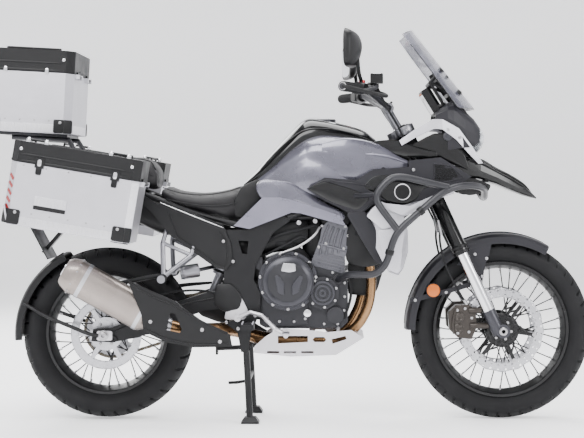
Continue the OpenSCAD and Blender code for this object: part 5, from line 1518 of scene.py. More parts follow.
    def lamp(self) -> None:
        """Headlamp: black cell, twin projector bowls with lenses, a light strip, and a clear cover."""
        st = [
            (600, 88, 978, 1068, 4), (640, 84, 972, 1072, 4), (668, 76, 968, 1066, 4),
            (682, 66, 978, 1056, 3.6)
        ]
        piece("lamp_cell", pod(st, 30, 64), "black_abs", "frame", ["headlight"])
        cover = [
            (640, 86, 970, 1073, 4), (672, 79, 966, 1068, 4), (690, 66, 980, 1054, 3.4),
            (699, 46, 998, 1038, 3)
        ]
        piece("lamp_cover_shell", pod(cover, 30, 64), "lamp_cover", "frame")
        turn = turn_to((1, 0, 0))
        bowls, lenses = [], []
        for y in (-40, 40):
            bowls.append(
                revolved(
                    [(8, -16), (16, -12), (24, -4), (27, 2), (29, 2), (29, -18), (8, -18), (8, -16)], 40
                ).moved((686, y, 1020), turn)
            )
            lenses.append(
                revolved(
                    [(0, -12), (17, -12), (17, -6), (14, 0), (8, 3.5), (0, 5)], 36
                ).moved((684, y, 1020), turn)
            )
        piece("lamp_bowls", joined(bowls), "reflector_bowl", "frame")
        piece("lamp_projectors", joined(lenses), "mirror_glass", "frame")
        strip = bar([(684, -60, 1046), (688, -30, 1052), (688, 30, 1052), (684, 60, 1046)], 3.2, 12, 12)
        piece("day_light_strip", strip, "stripe_white", "frame")

    def tail(self) -> None:
        """Tail lamp lens with ribs, plate board left blank, and turn signal lenses."""
        lens = pod([(-815, 60, 862, 898, 5), (-808, 62, 860, 900, 5), (-796, 62, 860, 900, 5)], 8, 40)
        piece("tail_lens", lens, "red_lens", "frame")
        ribs = [block((2, 2.4, 34), 0.4).moved((-815.6, y, 880)) for y in range(-50, 51, 10)]
        piece("tail_lens_ribs", joined(ribs), "red_lens", "frame")
        board = block((2.4, 184, 122), 0.06).moved((-2.6, 0, 0)).moved((-905, 0, 640), about_y(-28))
        piece("blank_plate", board, "stripe_white", "frame")
        amber = both(
            [
                pod(
                    [(-806, 17, 870, 890, 2.2), (-796, 19, 868, 892, 2.2), (-786, 17, 870, 890, 2.2)], 12,
                    24
                ).moved((0, 144, 0))
            ]
        )
        piece("rear_signal_lenses", amber, "amber_reflector", "frame")

    def undertray(self) -> None:
        """Black undertray that carries the seat rail's electrics: a long pod over the rear wheel."""
        tray = pod(
            [
                (-700, 70, 800, 868, 4), (-680, 84, 780, 872, 4), (-480, 96, 676, 800, 4),
                (-400, 98, 668, 770, 4), (-330, 94, 664, 750, 4), (-316, 84, 680, 738, 4)
            ],
            40, 56
        )
        piece("seat_undertray", tray, "black_abs", "frame")

    def fasteners(self) -> None:
        """Visible panel bolts."""
        right = [
            (435, 206, 904), (322, 207, 842), (-238, 160, 650), (-204, 156, 578), (560, 158, 1047),
            (604, 152, 1020)
        ]
        shells = both([s for x, y, z in right for s in scattered(bolt(6.0, 4.0), [(x, y, z)], (0, 1, 0))])
        piece("panel_bolts", shells, "zinc_bolt", "frame")
        edge = spline([(-463, 158, 788), (-380, 159.5, 754), (-300, 160, 722), (-238, 160, 698)], 40)
        swell = 2.0 * np.sin(np.linspace(0.1, np.pi - 0.1, 40)) ** 0.5
        piece("side_cover_brightwork", both([swept(edge, swell, 10)]), "polished_steel", "frame")
        cup = revolved(
            [(0, 0), (16, 0), (16, 3), (12, 4), (10, 1.5), (0, 1.5)], 32
        ).moved((560, 147, 1024), turn_to((0, 1, 0)))
        piece("cowl_side_caps", both([cup]), "engine_cover", "frame")


@dataclass
class Engine:
    """Engine dressing: covers, bolts, fins, hoses, headers and radiator core."""

    clutch: tuple[float, float, float] = (-9.0, -176.0, 508.0)
    stator: tuple[float, float, float] = (115.0, -146.0, 465.0)

    def build(self) -> None:
        """Dresses the engine's nodes and adds its visible details."""
        for node, finish, edge in (
            ("main_frame", "frame_powder", 2.0), ("subframe", "frame_powder", 0.0),
            ("crankcase", "engine_cast", 3.0), ("cylinder_head", "head_cast", 2.0),
            ("clutch_cover", "engine_cover", 2.5), ("radiator", "core_black", 1.0),
            ("skid_plate", "plate_alloy", 2.0), ("heat_shield", "black_abs", 1.5)
        ):
            dress(node, finish, edge)
        self.covers()
        self.bolts()
        self.head()
        self.plumbing()
        self.headers()
        self.core()

    def covers(self) -> None:
        """Clutch cover with a stepped rim, polished window and slanted pads; the stator cover's rings."""
        turn = turn_to((0, -1, 0))
        face = revolved([(72, 8), (78, 4), (88, 0), (91.5, 0), (92.5, -5), (92.5, -26), (90, -27)][::-1], 72)
        hub = revolved([(0, 11), (30, 11), (34, 9.4), (66, 9.2), (70, 8)], 64)
        piece(
            "clutch_cover_rim", face.moved(self.clutch, turn), "engine_cover", "frame",
            closed=False
        )
        piece(
            "clutch_cover_dish", hub.moved(self.clutch, turn), "engine_cast", "frame",
            closed=False
        )
        cx, _, cz = self.clutch
        window = [
            (cx - 24, cz + 38), (cx - 16, cz + 66), (cx + 26, cz + 64), (cx + 30, cz + 38),
            (cx + 6, cz + 33)
        ]
        left = [
            (cx - 46, cz + 22), (cx - 30, cz + 22), (cx - 12, cz - 8), (cx - 12, cz - 48),
            (cx - 34, cz - 40)
        ]
        right = [
            (cx + 56, cz + 18), (cx + 42, cz + 22), (cx + 16, cz - 10), (cx + 16, cz - 48),
            (cx + 38, cz - 38)
        ]
        pads = [panel(left, 184, 190.5, 0.8, 1.6, 2), panel(right, 184, 190.5, 0.8, 1.6, 2)]
        piece("clutch_cover_pads", joined(pads).mirrored(), "engine_cover", "frame")
        piece(
            "clutch_cover_window", panel(window, 184, 189.5, 0.6, 1.6, 2).mirrored(), "ground_steel",
            "frame"
        )
        rings = [
            revolved(
                [(20 + k, 0), (20 + k, 3.4), (24 + k, 4.4), (27 + k, 3.4), (27 + k, 0), (20 + k, 0)], 56
            ).moved(self.stator, turn)
            for k in (-14, 2, 16)
        ]
        piece("stator_cover_rings", joined(rings), "engine_cover", "frame")
        cap = revolved([(0, 8), (12, 8), (14, 6), (14, 0)][::-1], 12).moved((66, -142, 560), turn)
        piece("oil_cap", cap, "black_bolt", "frame", closed=False)
        glass = revolved([(0, 0), (13, 0), (13, 5), (10, 6), (0, 4)], 32).moved((60, -125, 392), turn)
        piece("oil_window", glass, "polished_steel", "frame")

    def bolts(self) -> None:
        """Cover and case bolts, set round each cover's flange and along the case's edges."""
        t = np.radians(np.arange(11) * 360 / 11 + 8)
        ring = np.stack(
            [self.clutch[0] + 100 * np.cos(t), 0 * t - 141.5, self.clutch[2] + 100 * np.sin(t)], -1
        )
        ring = ring[~((ring[:, 0] > 50) & (ring[:, 2] < 520))]
        u = np.radians(np.arange(7) * 360 / 7 + 20)
        small = np.stack([115 + 51 * np.cos(u), 0 * u - 139.5, 465 + 51 * np.sin(u)], -1)
        edge = [
            (-84, -124, 372), (-40, -124, 362), (12, -124, 362), (52, -124, 372), (120, -112, 352),
            (168, -112, 352), (192, -112, 400), (193, -112, 450), (193, -112, 500), (150, -112, 536),
            (-92, -124, 470), (-84, -124, 566)
        ]
        shells = scattered(bolt(6.4, 6.0), ring, (0, -1, 0)) + scattered(
            bolt(5.5, 5.0), small, (0, -1, 0)
        ) + scattered(bolt(5.5, 5), edge, (0, -1, 0))
        left = [
            (x, 122, z)
            for x, z in ((-84, 372), (-30, 360), (30, 362), (-84, 540), (40, 540), (10, 566), (-50, 580))
        ]
        shells += scattered(bolt(6, 5), left, (0, 1, 0))
        v = np.radians(np.arange(9) * 40)
        shells += scattered(
            bolt(5.5, 5), np.stack([100 + 70 * np.cos(v), 0 * v + 131.5, 430 + 70 * np.sin(v)], -1),
            (0, 1, 0)
        )
        piece("engine_bolts", joined(shells), "zinc_bolt", "frame")
        cap = revolved(
            [(0, 10), (40, 9), (52, 6), (60, 0), (60, -2)][::-1], 56
        ).moved((100, 132, 430), turn_to((0, 1, 0)))
        piece("alternator_cap", cap, "engine_cover", "frame", closed=False)

    def head(self) -> None:
        """Cylinder fins, spark plug boots, cam cover bolts and the frame's engine bolts."""
        fins = []
        for k in range(9):
            x0, z0, x1, z1 = 84 + 2.4 * k, 566 + 9.6 * k, 190 + 1.2 * k, 538 + 9.6 * k
            mid, run = ((x0 + x1) / 2, 0, (z0 + z1) / 2), np.hypot(x1 - x0, z1 - z0)
            if k < 6:
                fins.append(
                    block((run, 224, 2.6), 0.3).moved(
                        mid, about_y(np.degrees(np.arctan2(z0 - z1, x1 - x0)))
                    )
                )
        piece("cylinder_fins", joined(fins), "head_cast", "frame")
        ribs = [
            tube(
                [
                    (104 + 22 * k, -113, 600 + 2 * k), (118 + 20 * k, -113, 660 - 4 * k),
                    (136 + 18 * k, -108, 706 - 6 * k)
                ],
                4.2, 12, 10
            )
            for k in range(4)
        ]
        ribs += [tube([(104, -114, 640), (150, -114.5, 628), (200, -114, 614)], 4.6, 12, 10)]
        piece("head_ribs", both(ribs), "head_cast", "frame")
        spots = [
            (112, -107, 704), (196, -107, 702), (206, -107, 668), (126, -113, 640), (190, -113, 622),
            (100, -113, 628)
        ]
        mounts = [(30, -150, 716), (88, -146, 722)]
        piece(
            "head_bolts", both([s.mirrored() for s in scattered(bolt(6, 6), spots, (0, -1, 0))]),
            "zinc_bolt", "frame"
        )
        piece(
            "frame_engine_bolts", both([s.mirrored() for s in scattered(bolt(9, 7), mounts, (0, -1, 0))]),
            "zinc_bolt", "frame"
        )
        plugs = [tube([(150, y, 716), (152, y, 734), (146, y, 748)], 8, 10, 14) for y in (-45, 45)]
        piece("plug_boots", joined(plugs), "grip_rubber", "frame")

    def plumbing(self) -> None:
        """Coolant hoses, breather, clutch cable and wiring loom: tubes on smooth curves."""
        hoses = [
            tube([(372, -96, 772), (330, -118, 736), (262, -112, 690), (214, -98, 660)], 14, 40, 18),
            tube([(352, 100, 612), (322, 124, 560), (270, 122, 520), (206, 104, 470)], 14, 40, 18),
            tube([(60, -70, 566), (20, -96, 612), (-40, -96, 640), (-100, -70, 660)], 20, 40, 18),
        ]
        piece("coolant_hoses", joined(hoses), "grip_rubber", "frame")
        silver = [tube([(104, -128, 700), (82, -146, 668), (30, -148, 632), (-36, -146, 606)], 4.6, 40, 12)]
        piece("cable_sleeve", joined(silver), "zinc_bolt", "frame")
        loom = [
            tube([(-100, -118, 640), (-40, -126, 672), (30, -122, 690), (90, -116, 706)], 6, 40, 12),
            tube(
                [(-90, -110, 600), (-50, -128, 620), (-10, -132, 640), (40, -124, 664), (76, -118, 640)], 5,
                40, 12
            ),
            tube([(-100, 118, 640), (-40, 126, 672), (30, 122, 690), (90, 116, 706)], 6, 40, 12),
            tube([(206, -96, 520), (216, -112, 470), (208, -118, 420), (190, -116, 372)], 5, 40, 12)
        ]
        piece("wiring_loom", joined(loom), "grip_rubber", "frame")
        airbox = pod(
            [
                (-120, 104, 610, 700, 4), (-90, 112, 600, 730, 4), (20, 112, 620, 744, 4),
                (60, 100, 640, 740, 4)
            ],
            30, 56
        )
        fill = pod(
            [(40, 60, 580, 730, 4), (60, 78, 566, 752, 4), (100, 86, 566, 752, 4), (112, 76, 600, 748, 4)],
            20, 48
        )
        coil = pod(
            [
                (206, 20, 470, 700, 4), (216, 22, 450, 742, 4), (300, 22, 452, 756, 4),
                (330, 18, 520, 742, 4)
            ],
            20, 40
        )
        piece("airbox_shell", joined([airbox, fill, coil]), "black_abs", "frame")
        lower = pod(
            [
                (-196, 60, 556, 640, 4), (-180, 84, 520, 660, 4), (-112, 90, 470, 640, 4),
                (-96, 80, 470, 610, 4)
            ],
            20, 48
        )
        seat_side = panel(
            [(-206, 790), (-202, 736), (-150, 726), (-104, 792), (-92, 856), (-118, 872), (-176, 846)], -96,
            -108, 4, 4, 2
        )
        head_side = panel(
            [(100, 762), (140, 792), (210, 802), (228, 744), (208, 704), (112, 704)], -84, -98, 4, 4, 2
        )
        guard = panel(
            [(-344, 404), (-300, 416), (-226, 416), (-222, 352), (-262, 354), (-326, 378)], -56, -72, 4, 4,
            2
        )
        piece(
            "rear_engine_covers",
            joined([lower, guard, both([seat_side.mirrored(), head_side.mirrored()])]), "black_abs",
            "frame"
        )
        throttle = [
            revolved(
                [(0, 0), (24, 0), (24, 30), (21, 32), (21, 44), (0, 44)], 28
            ).moved((72, y, 640), turn_to((0.9, 0, 0.3)))
            for y in (-46, 46)
        ]
        piece("throttle_bodies", joined(throttle), "cast_alloy", "frame")

    def headers(self) -> None:
        """Exhaust headers and link pipe, round tubes with eased bends, with flange collars."""
        near = [
            (212, -45, 637), (250, -45, 622), (281, -46, 572), (292, -48, 510), (284, -50, 417),
            (248, -46, 345), (192, -38, 300), (120, -26, 285)
        ]
        far = [
            (212, 45, 637), (244, 45, 624), (262, 44, 572), (266, 40, 500), (250, 30, 410), (216, 26, 345),
            (176, 24, 306), (120, 20, 285)
        ]
        link = [
            (135, 0, 284), (30, 0, 284), (-110, -20, 290), (-190, -45, 322), (-240, -120, 334),
            (-290, -180, 338), (-370, -218, 340), (-452, -233.6, 364.6)
        ]
        pipes = [bar(near, 18, 46, 32), bar(far, 18, 46, 32), bar(link, 24, 46, 32)]
        piece("header_pipes", joined(pipes), "header_steel", "frame", ["exhaust_headers"])
        flange = revolved(
            [(20, 0), (28, 0), (29, 2), (29, 8), (24, 11), (21, 16), (20, 16)], 36
        ).moved((209, 45, 638.6), turn_to((0.93, 0, -0.37)))
        piece("header_flanges", both([flange]), "cast_alloy", "frame", closed=False)
        clamp = revolved(
            [(24, -12), (27.5, -12), (28.5, -8), (28.5, 8), (27.5, 12), (24, 12)], 36
        ).moved((-430, -229.5, 358), turn_to((-0.955, -0.18, 0.28)))
        piece("link_clamp", clamp, "ground_steel", "frame", closed=False)

    def core(self) -> None:
        """Radiator core: thin slats across its face, tilted with it, upright tubes and a guard of round bars.
        """
        slats = []
        for k in range(42):
            s = k / 41
            slats.append(block((3.0, 262, 1.5), 0.3).moved((351 + 43 * s, 0, 607 + 156 * s), about_y(-15)))
        tubes_ = [
            block((2.4, 1.8, 166), 0.3).moved((370.6, y, 685), about_y(15)) for y in range(-125, 126, 10)
        ]
        piece("radiator_slats", joined(slats + tubes_), "ground_steel", "frame")
        guard = []
        for k in range(11):
            s = (k + 0.5) / 11
            guard.append(
                tube(
                    [(358 + 44 * s, -130, 602 + 168 * s), (360 + 44 * s, 130, 602 + 168 * s)], 2.0, 2, 8,
                    False
                )
            )
        piece("radiator_guard", joined(guard), "black_bolt", "frame")


@dataclass
class Exhaust:
    """Silencer: a squared oval can with folded edges, front cone, end cap and outlet."""

    start: tuple[float, float, float] = (-500.0, -238.0, 392.0)
    end: tuple[float, float, float] = (-770.0, -262.0, 545.0)

    def frame_of(self) -> tuple[np.ndarray, float]:
        """Matrix from the can's local axes (z along it, y across the bike) to the bike's, and its length."""
        d = np.array(self.end) - np.array(self.start)
        length = float(np.linalg.norm(d))
        w = d / length
        v = np.cross(w, (0, 1, 0))
        v = -v / np.linalg.norm(v)
        side = np.cross(w, v)
        return np.stack([v, side, w], -1), length

    def skin(self, rows: Sequence[Sequence[float]]) -> Shell:
        """Squared oval x = r |cos|^p, y = 0.82 r |sin|^p, carried along z by rows of (z, r, power)."""
        s = np.asarray(rows, float)
        a = np.linspace(0, 2 * np.pi, 72, endpoint=False)
        p = 2 / s[:, 2:3]
        c = np.sign(np.cos(a)) * np.abs(np.cos(a)) ** p
        q = np.sign(np.sin(a)) * np.abs(np.sin(a)) ** p
        flat = np.clip((s[:, 1:2] - 30) / 30, 0, 1) * 0.18
        pts = np.stack([s[:, 1:2] * c, (1 - flat) * s[:, 1:2] * q, s[:, :1] + 0 * c], -1)
        turn, _ = self.frame_of()
        return grid(pts, wrap_v=True).moved(self.start, turn)

    def build(self) -> None:
        """Builds the can, its cap, straps, rivets and hanger."""
        turn, n = self.frame_of()
        can = [(-50, 0.01, 2), (-50, 26, 2), (-34, 30, 2), (-10, 46, 2.2), (4, 58, 2.5), (12, 61.5, 2.7)]
        can += [
            (12 + (n - 50) * k / 8, 61.8, 2.8) for k in range(1, 9)
        ] + [(n - 32, 61, 2.8), (n - 32, 0.01, 2.8)]
        piece(
            "silencer_can", self.skin(can), "titanium", "frame", ["silencer"], sharp=25
        )
        cap = [
            (n - 36, 63.5, 2.8), (n - 28, 64, 2.8), (n - 20, 63, 2.8), (n + 6, 53, 2.6), (n + 16, 45, 2.4),
            (n + 18, 40, 2.2), (n + 16, 30, 2), (n + 10, 25, 2), (n - 4, 23.5, 2), (n - 4, 0.01, 2)
        ]
        cap = [(n - 36, 61, 2.8)] + cap
        piece("silencer_end_cap", self.skin(cap), "titanium", "frame", sharp=25)
        pipe = revolved(
            [(20, n - 6), (23.2, n - 6), (23.2, n + 20), (21, n + 21.5), (20, n + 20), (20, n - 6)], 40
        ).moved(self.start, turn)
        piece("silencer_outlet", pipe, "polished_steel", "frame")
        straps = [
            self.skin([(z - 7, 61.5, 2.8), (z - 7, 63.4, 2.8), (z + 7, 63.4, 2.8), (z + 7, 61.5, 2.8)])
            for z in (24, n - 60)
        ]
        piece("silencer_straps", joined(straps), "ground_steel", "frame", closed=False)
        a = np.radians(np.arange(12) * 30 + 15)
        p = 2 / 2.8
        rim = np.stack(
            [
                64 * np.sign(np.cos(a)) * np.abs(np.cos(a)) ** p,
                0.82 * 64 * np.sign(np.sin(a)) * np.abs(np.sin(a)) ** p, 0 * a + n - 26
            ],
            -1
        )
        shells = []
        for r in rim:
            out = turn @ (np.array([r[0], r[1], 0]) / np.hypot(r[0], r[1]))
            shells += scattered(bolt(3.4, 2.2), [turn @ r + np.array(self.start)], out)
        piece("silencer_rivets", joined(shells), "zinc_bolt", "frame")
        hanger = tube([(-622, -216, 500), (-540, -196, 516), (-462, -176, 530)], 8, 20, 16)
        piece("silencer_hanger", hanger, "frame_powder", "frame")
        spots = [(-481, -296, 377), (-302, -296, 349), (-240, -296, 308)]
        piece("heat_shield_bolts", joined(scattered(bolt(7, 4.5), spots, (0, -1, 0))), "zinc_bolt", "frame")
        lines = [
            tube(
                [
                    (-548, -297, 506), (-470, -298, 462), (-392, -298, 430), (-300, -298, 378),
                    (-214, -297, 338)
                ],
                2.6, 40, 10
            ),
            tube([(-500, -297, 352), (-420, -298, 318), (-330, -298, 300), (-214, -297, 300)], 2.4, 40, 10)
        ]
        piece("heat_shield_ribs", joined(lines), "black_abs", "frame")


# ---------------------------------------------------------------- luggage


@dataclass
class Luggage:
    """Aluminium panniers and top case with dark lids, corner guards, rivets, tie bars and latches."""

    length: float = 437.0
    width: float = 215.0
    height: float = 212.0
    lid: float = 72.0
    top: tuple[float, float, float, float] = (308.0, 376.0, 214.0, 80.0)

    def build(self) -> None:
        """Dresses the case nodes and adds the fittings on both sides."""
        for node in ("right_pannier", "left_pannier", "top_case"):
            dress(node, "case_sheet", 1.2)
        for node in ("right_lid", "left_lid", "top_lid"):
            dress(node, "black_abs", 2.0)
        dress("luggage_rack", "bar_powder", 1.0)
        for name, side, lid_body in (("right", -1, "right_lid"), ("left", 1, "left_lid")):
            self.pannier(name, side, lid_body)
        self.top_box()

    def put(self, shells: Iterable[Shell], side: int) -> Shell:
        """Carries pannier-local shells (x back to front, y outward, z up from the seam) to the bike."""
        one = joined(shells).moved((-500, 246, 861), about_y(9.6))
        return one if side > 0 else one.mirrored()

    def pannier(self, name: str, side: int, lid_body: str) -> None:
        """Fittings of one pannier."""
        l, w, h = self.length, self.width, self.height
        strips = [
            block((l - 70, 1.6, 30), 0.1).moved((-l / 2, w + 0.5, -h + 17)),
            block((32, 1.6, h - 52), 0.1).moved((-12, w - 11.4, -h / 2 + 20), about_z(-45)),
        ]
        piece(name + "_case_edges", self.put(strips, side), "case_edge", "frame")
        guards = []
        for x in (-40, -l + 40):
            guards.append(block((44, 4.5, 50), 0.2).moved((x, w + 2.4, -h + 28)))
        for x, turn in ((-11, 45), (-l + 11, -45)):
            spin = about_z(-turn)
            guards.append(block((34, 4.5, 50), 0.2).moved((x, w - 10, -h + 28), spin))
        guards.append(block((60, 60, 4), 0.1).moved((-34, w - 34, -h - 1)))
        piece(name + "_corner_guards", self.put(guards, side), "black_abs", "frame")
        rivets = [
            (-400 + 62 * k, w + 0.2, -166) for k in range(6)
        ] + [(-390 + 76 * k, w + 0.2, -8) for k in range(5)]
        screws = [(-44, w + 4.4, -h + 44), (-l + 44, w + 4.4, -h + 44)]
        shells = scattered(revolved([(0, 0), (3.4, 0), (2.8, 1.2), (0, 1.8)], 12), rivets, (0, 1, 0))
        shells += scattered(bolt(5.5, 3.2), screws, (0, 1, 0))
        piece(name + "_case_rivets", self.put(shells, side), "zinc_bolt", "frame")
        plate = [block((112, 1.4, 46), 0.06).moved((-l + 156, w + 2.4, -h + 85))]
        piece(name + "_maker_plate", self.put(plate, side), "case_edge", "frame")
        band = [block((112, 1.4, 14), 0.1).moved((-l + 156, w + 3.2, -h + 70))]
        piece(name + "_plate_band", self.put(band, side), "black_abs", "frame")
        stripes = []
        spin = about_z(45)
        for k in range(5):
            stripe = block((30, 1.2, 11), 0.1).moved((0, 0, 0), about_y(35))
            stripes.append(stripe.moved((-l + 12, w - 11.4, -52 - 26 * k), spin))
        piece(name + "_reflective_stripes", self.put(stripes, side), "red_lens", "frame")
        hooks = [block((20, 6, 26), 0.3).moved((x, w + 2, -20)) for x in (-81, -l + 99)]
        piece(name + "_latch_keeps", self.put(hooks, side), "black_bolt", "frame")
        liner = [block((l - 60, w - 50, 2), 0.05).moved((-l / 2, w / 2, -h + 5))]
        piece(name + "_case_mat", self.put(liner, side), "grip_rubber", "frame")
        # lid
        ridge = [
            block((l - 34, 4, 9), 0.3).moved((-l / 2, w + 2.6, 7)),
            block((l - 34, 3.4, 6), 0.3).moved((-l / 2, w + 2.4, 30)),
            block((9, w - 60, 9), 0.3).moved((-l - 1.5, w / 2, 7)),
        ]
        ridge += [
            block((l - 150, 8, 3), 0.4).moved((-l / 2, y, self.lid + 0.6)) for y in (50, 80, 110, 140, 165)
        ]
        piece(name + "_lid_ribs", self.put(ridge, side), "black_abs", lid_body)
        ties = []
        for x in (-78, -l + 78):
            ties.append(
                tube([(x - 32, w - 12, self.lid + 9), (x + 32, w - 12, self.lid + 9)], 4.2, 2, 14, False)
            )
        piece(name + "_lid_tie_bars", self.put(ties, side), "black_bolt", lid_body)
        knobs = []
        for x in (-78, -l + 78):
            for dx in (-30, 30):
                knobs.append(
                    revolved(
                        [(0, -2), (8, -2), (8, 8), (6.5, 13), (3, 15.5), (0, 16)], 20
                    ).moved((x + dx, w - 12, self.lid))
                )
        screws = scattered(bolt(6, 3.5), [(-30, w + 1.2, 46), (-l + 30, w + 1.2, 46)], (0, 1, 0))
        tabs = [block((13, 3, 22), 0.4).moved((x, w + 6.2, 8)) for x in (-81, -l + 99)]
        piece(
            name + "_lid_brightwork", self.put(knobs + screws + tabs, side), "polished_steel", lid_body,
        )

    def top_box(self) -> None:
        """Fittings of the top case."""
        l, w, h, lid = self.top
        place = lambda shells: joined(shells).moved((-779, 0, 1030), about_y(3))
        two = lambda shells: place([both(shells)])
        strips = [
            block((l - 100, 1.6, 30), 0.1).moved((-l / 2, w / 2 + 0.4, 17)),
            block((1.6, w - 90, 30), 0.1).moved((0.4, 0, 17))
        ]
        piece("top_case_edges", place([both(strips[:1]), strips[1]]), "case_edge", "frame")
        guards = []
        for x, turn in ((-12, 45), (-l + 14, -45)):
            spin = about_z(-turn)
            guards.append(block((40, 4.5, 48), 0.2).moved((x, w / 2 - 13, 25), spin))
        for x in (-41, -l + 41):
            guards.append(block((38, 4.5, 48), 0.2).moved((x, w / 2 + 2.4, 25)))
        piece("top_corner_guards", two(guards), "black_abs", "frame")
        rivets = scattered(
            revolved([(0, 0), (3.4, 0), (2.8, 1.2), (0, 1.8)], 12),
            [(-76 - 52 * k, w / 2 + 0.2, 44) for k in range(4)], (0, 1, 0)
        )
        rivets += scattered(bolt(5.5, 3.2), [(-36, w / 2 + 4.4, 38), (-l + 46, w / 2 + 4.4, 38)], (0, 1, 0))
        piece("top_case_rivets", two(rivets), "zinc_bolt", "frame")
        ribs = [
            block((l - 60, 4, 8), 0.3).moved((-l / 2, w / 2 + 2.4, h + 7)),
            block((l - 60, 3.4, 6), 0.3).moved((-l / 2, w / 2 + 2.2, h + 34)),
            block((4, 120, 8), 0.3).moved((2.4, 0, h + 14)),
        ]
        top_ribs = [block((l - 130, 10, 3), 0.4).moved((-l / 2, y, h + lid + 0.6)) for y in (0, 30, 60, 90)]
        piece(
            "top_lid_ribs", place([both(ribs + top_ribs[1:]), top_ribs[0]]), "black_abs", "top_lid",
        )
        lock = revolved(
            [(0, 0), (12, 0), (12, 3), (5, 4), (4, 2.5), (0, 2.5)], 24
        ).moved((-l - 1.5, 0, h + 26), turn_to((-1, 0, 0)))
        screws = scattered(
            bolt(6, 3.5), [(-34, w / 2 + 1.2, h + 46), (-l + 40, w / 2 + 1.2, h + 46)], (0, 1, 0)
        )
        tabs = [block((12, 3, 20), 0.4).moved((x, w / 2 + 3.2, h + 4)) for x in (-92, -l + 70)]
        piece(
            "top_lid_brightwork", place([both(screws + tabs), lock]), "polished_steel", "top_lid",
        )
        mat = block((l - 40, w - 40, 2), 0.05).moved((-l / 2, 0, 5))
        piece("top_case_mat", place([mat]), "grip_rubber", "frame")


# ---------------------------------------------------------------- seats


@dataclass
class Seat:
    """Foam seat under a stretched vinyl cover, swelled by a cloth run, with sewn lines and piping."""

    name: str
    stations: Sequence[Sequence[float]]
    cap_mm: float
    seams: Sequence[Sequence[Sequence[float]]]
    voxel_mm: float = 6.0

    def build(self) -> None:
        """Lofts the shape, swells it, sinks the seams, then lays piping on them."""
        base = pod(self.stations, 70, 96)
        obj = piece(self.name + "_cushion", base, "seat_vinyl", "frame", [self.name], sharp=180)
        self.swell(obj)
        self.sink(obj)
        smooth = obj.modifiers.new("smooth", "SUBSURF")
        smooth.levels = smooth.render_levels = 1
        piping = [swept(spline(line, 60), 2.0, 10) for line in self.seams]
        piece(self.name + "_piping", both(piping), "seat_side_vinyl", "frame")

    def swell(self, obj: bpy.types.Object) -> None:
        """Remeshes the loft, runs cloth under pressure for 20 frames, and caps how far points move."""
        remesh = obj.modifiers.new("remesh", "REMESH")
        remesh.mode, remesh.voxel_size = "VOXEL", self.voxel_mm * MM
        self.freeze(obj)
        start = self.points(obj)
        cloth = obj.modifiers.new("cloth", "CLOTH")
        cloth.settings.use_pressure = True
        cloth.settings.uniform_pressure_force = 4.0
        cloth.settings.effector_weights.gravity = 0.0
        cloth.settings.mass = 0.3
        cloth.point_cache.frame_start, cloth.point_cache.frame_end = 1, 20
        for step in range(1, 21):
            bpy.context.scene.frame_set(step)
        end = self.evaluated(obj)
        obj.modifiers.remove(cloth)
        bpy.context.scene.frame_set(1)
        move = end - start
        size = np.linalg.norm(move, axis=1, keepdims=True)
        limit = self.cap_mm * MM
        move *= np.minimum(1, limit / np.maximum(size, 1e-9))
        low = start[:, 2:3].min()
        move *= np.clip((start[:, 2:3] - low) / 0.03, 0, 1)
        obj.data.vertices.foreach_set("co", (start + move).astype(np.float32).ravel())
        obj.data.update()

    def sink(self, obj: bpy.types.Object) -> None:
        """Draws the cover down by 3 mm * exp(-(distance / 5 mm)^2) around each sewn line and its mirror."""
        co = self.points(obj)
        lines = []
        for line in self.seams:
            dense = spline(line, 90) * MM
            lines += [dense, dense * (1, -1, 1)]
        every = np.vstack(lines)
        near = np.full(len(co), 1.0)
        for chunk in range(0, len(co), 4000):
            d = np.linalg.norm(co[chunk : chunk + 4000, None] - every[None], axis=2)
            near[chunk : chunk + 4000] = d.min(1)
        normals = np.zeros(len(co) * 3, np.float32)
        obj.data.vertices.foreach_get("normal", normals)
        depth = 0.003 * np.exp(-((near / 0.005) ** 2))
        co = co - normals.reshape(-1, 3) * depth[:, None]
        obj.data.vertices.foreach_set("co", co.astype(np.float32).ravel())
        obj.data.update()

    @staticmethod
    def points(obj: bpy.types.Object) -> np.ndarray:
        """The mesh's own points."""
        co = np.zeros(len(obj.data.vertices) * 3, np.float32)
        obj.data.vertices.foreach_get("co", co)
        return co.reshape(-1, 3).astype(float)

    @staticmethod
    def evaluated(obj: bpy.types.Object) -> np.ndarray:
        """The points after modifiers."""
        mesh = obj.evaluated_get(bpy.context.evaluated_depsgraph_get()).to_mesh()
        co = np.zeros(len(mesh.vertices) * 3, np.float32)
        mesh.vertices.foreach_get("co", co)
        return co.reshape(-1, 3).astype(float)

    @staticmethod
    def freeze(obj: bpy.types.Object) -> None:
        """Puts the modified mesh in place of the old one and clears the modifiers."""
        made = bpy.data.meshes.new_from_object(obj.evaluated_get(bpy.context.evaluated_depsgraph_get()))
        obj.modifiers.clear()
        old = obj.data
        obj.data = made
        made.name = obj.name
        bpy.data.meshes.remove(old)
        if not made.materials:
            made.materials.append(material("seat_vinyl"))
        made.shade_smooth()


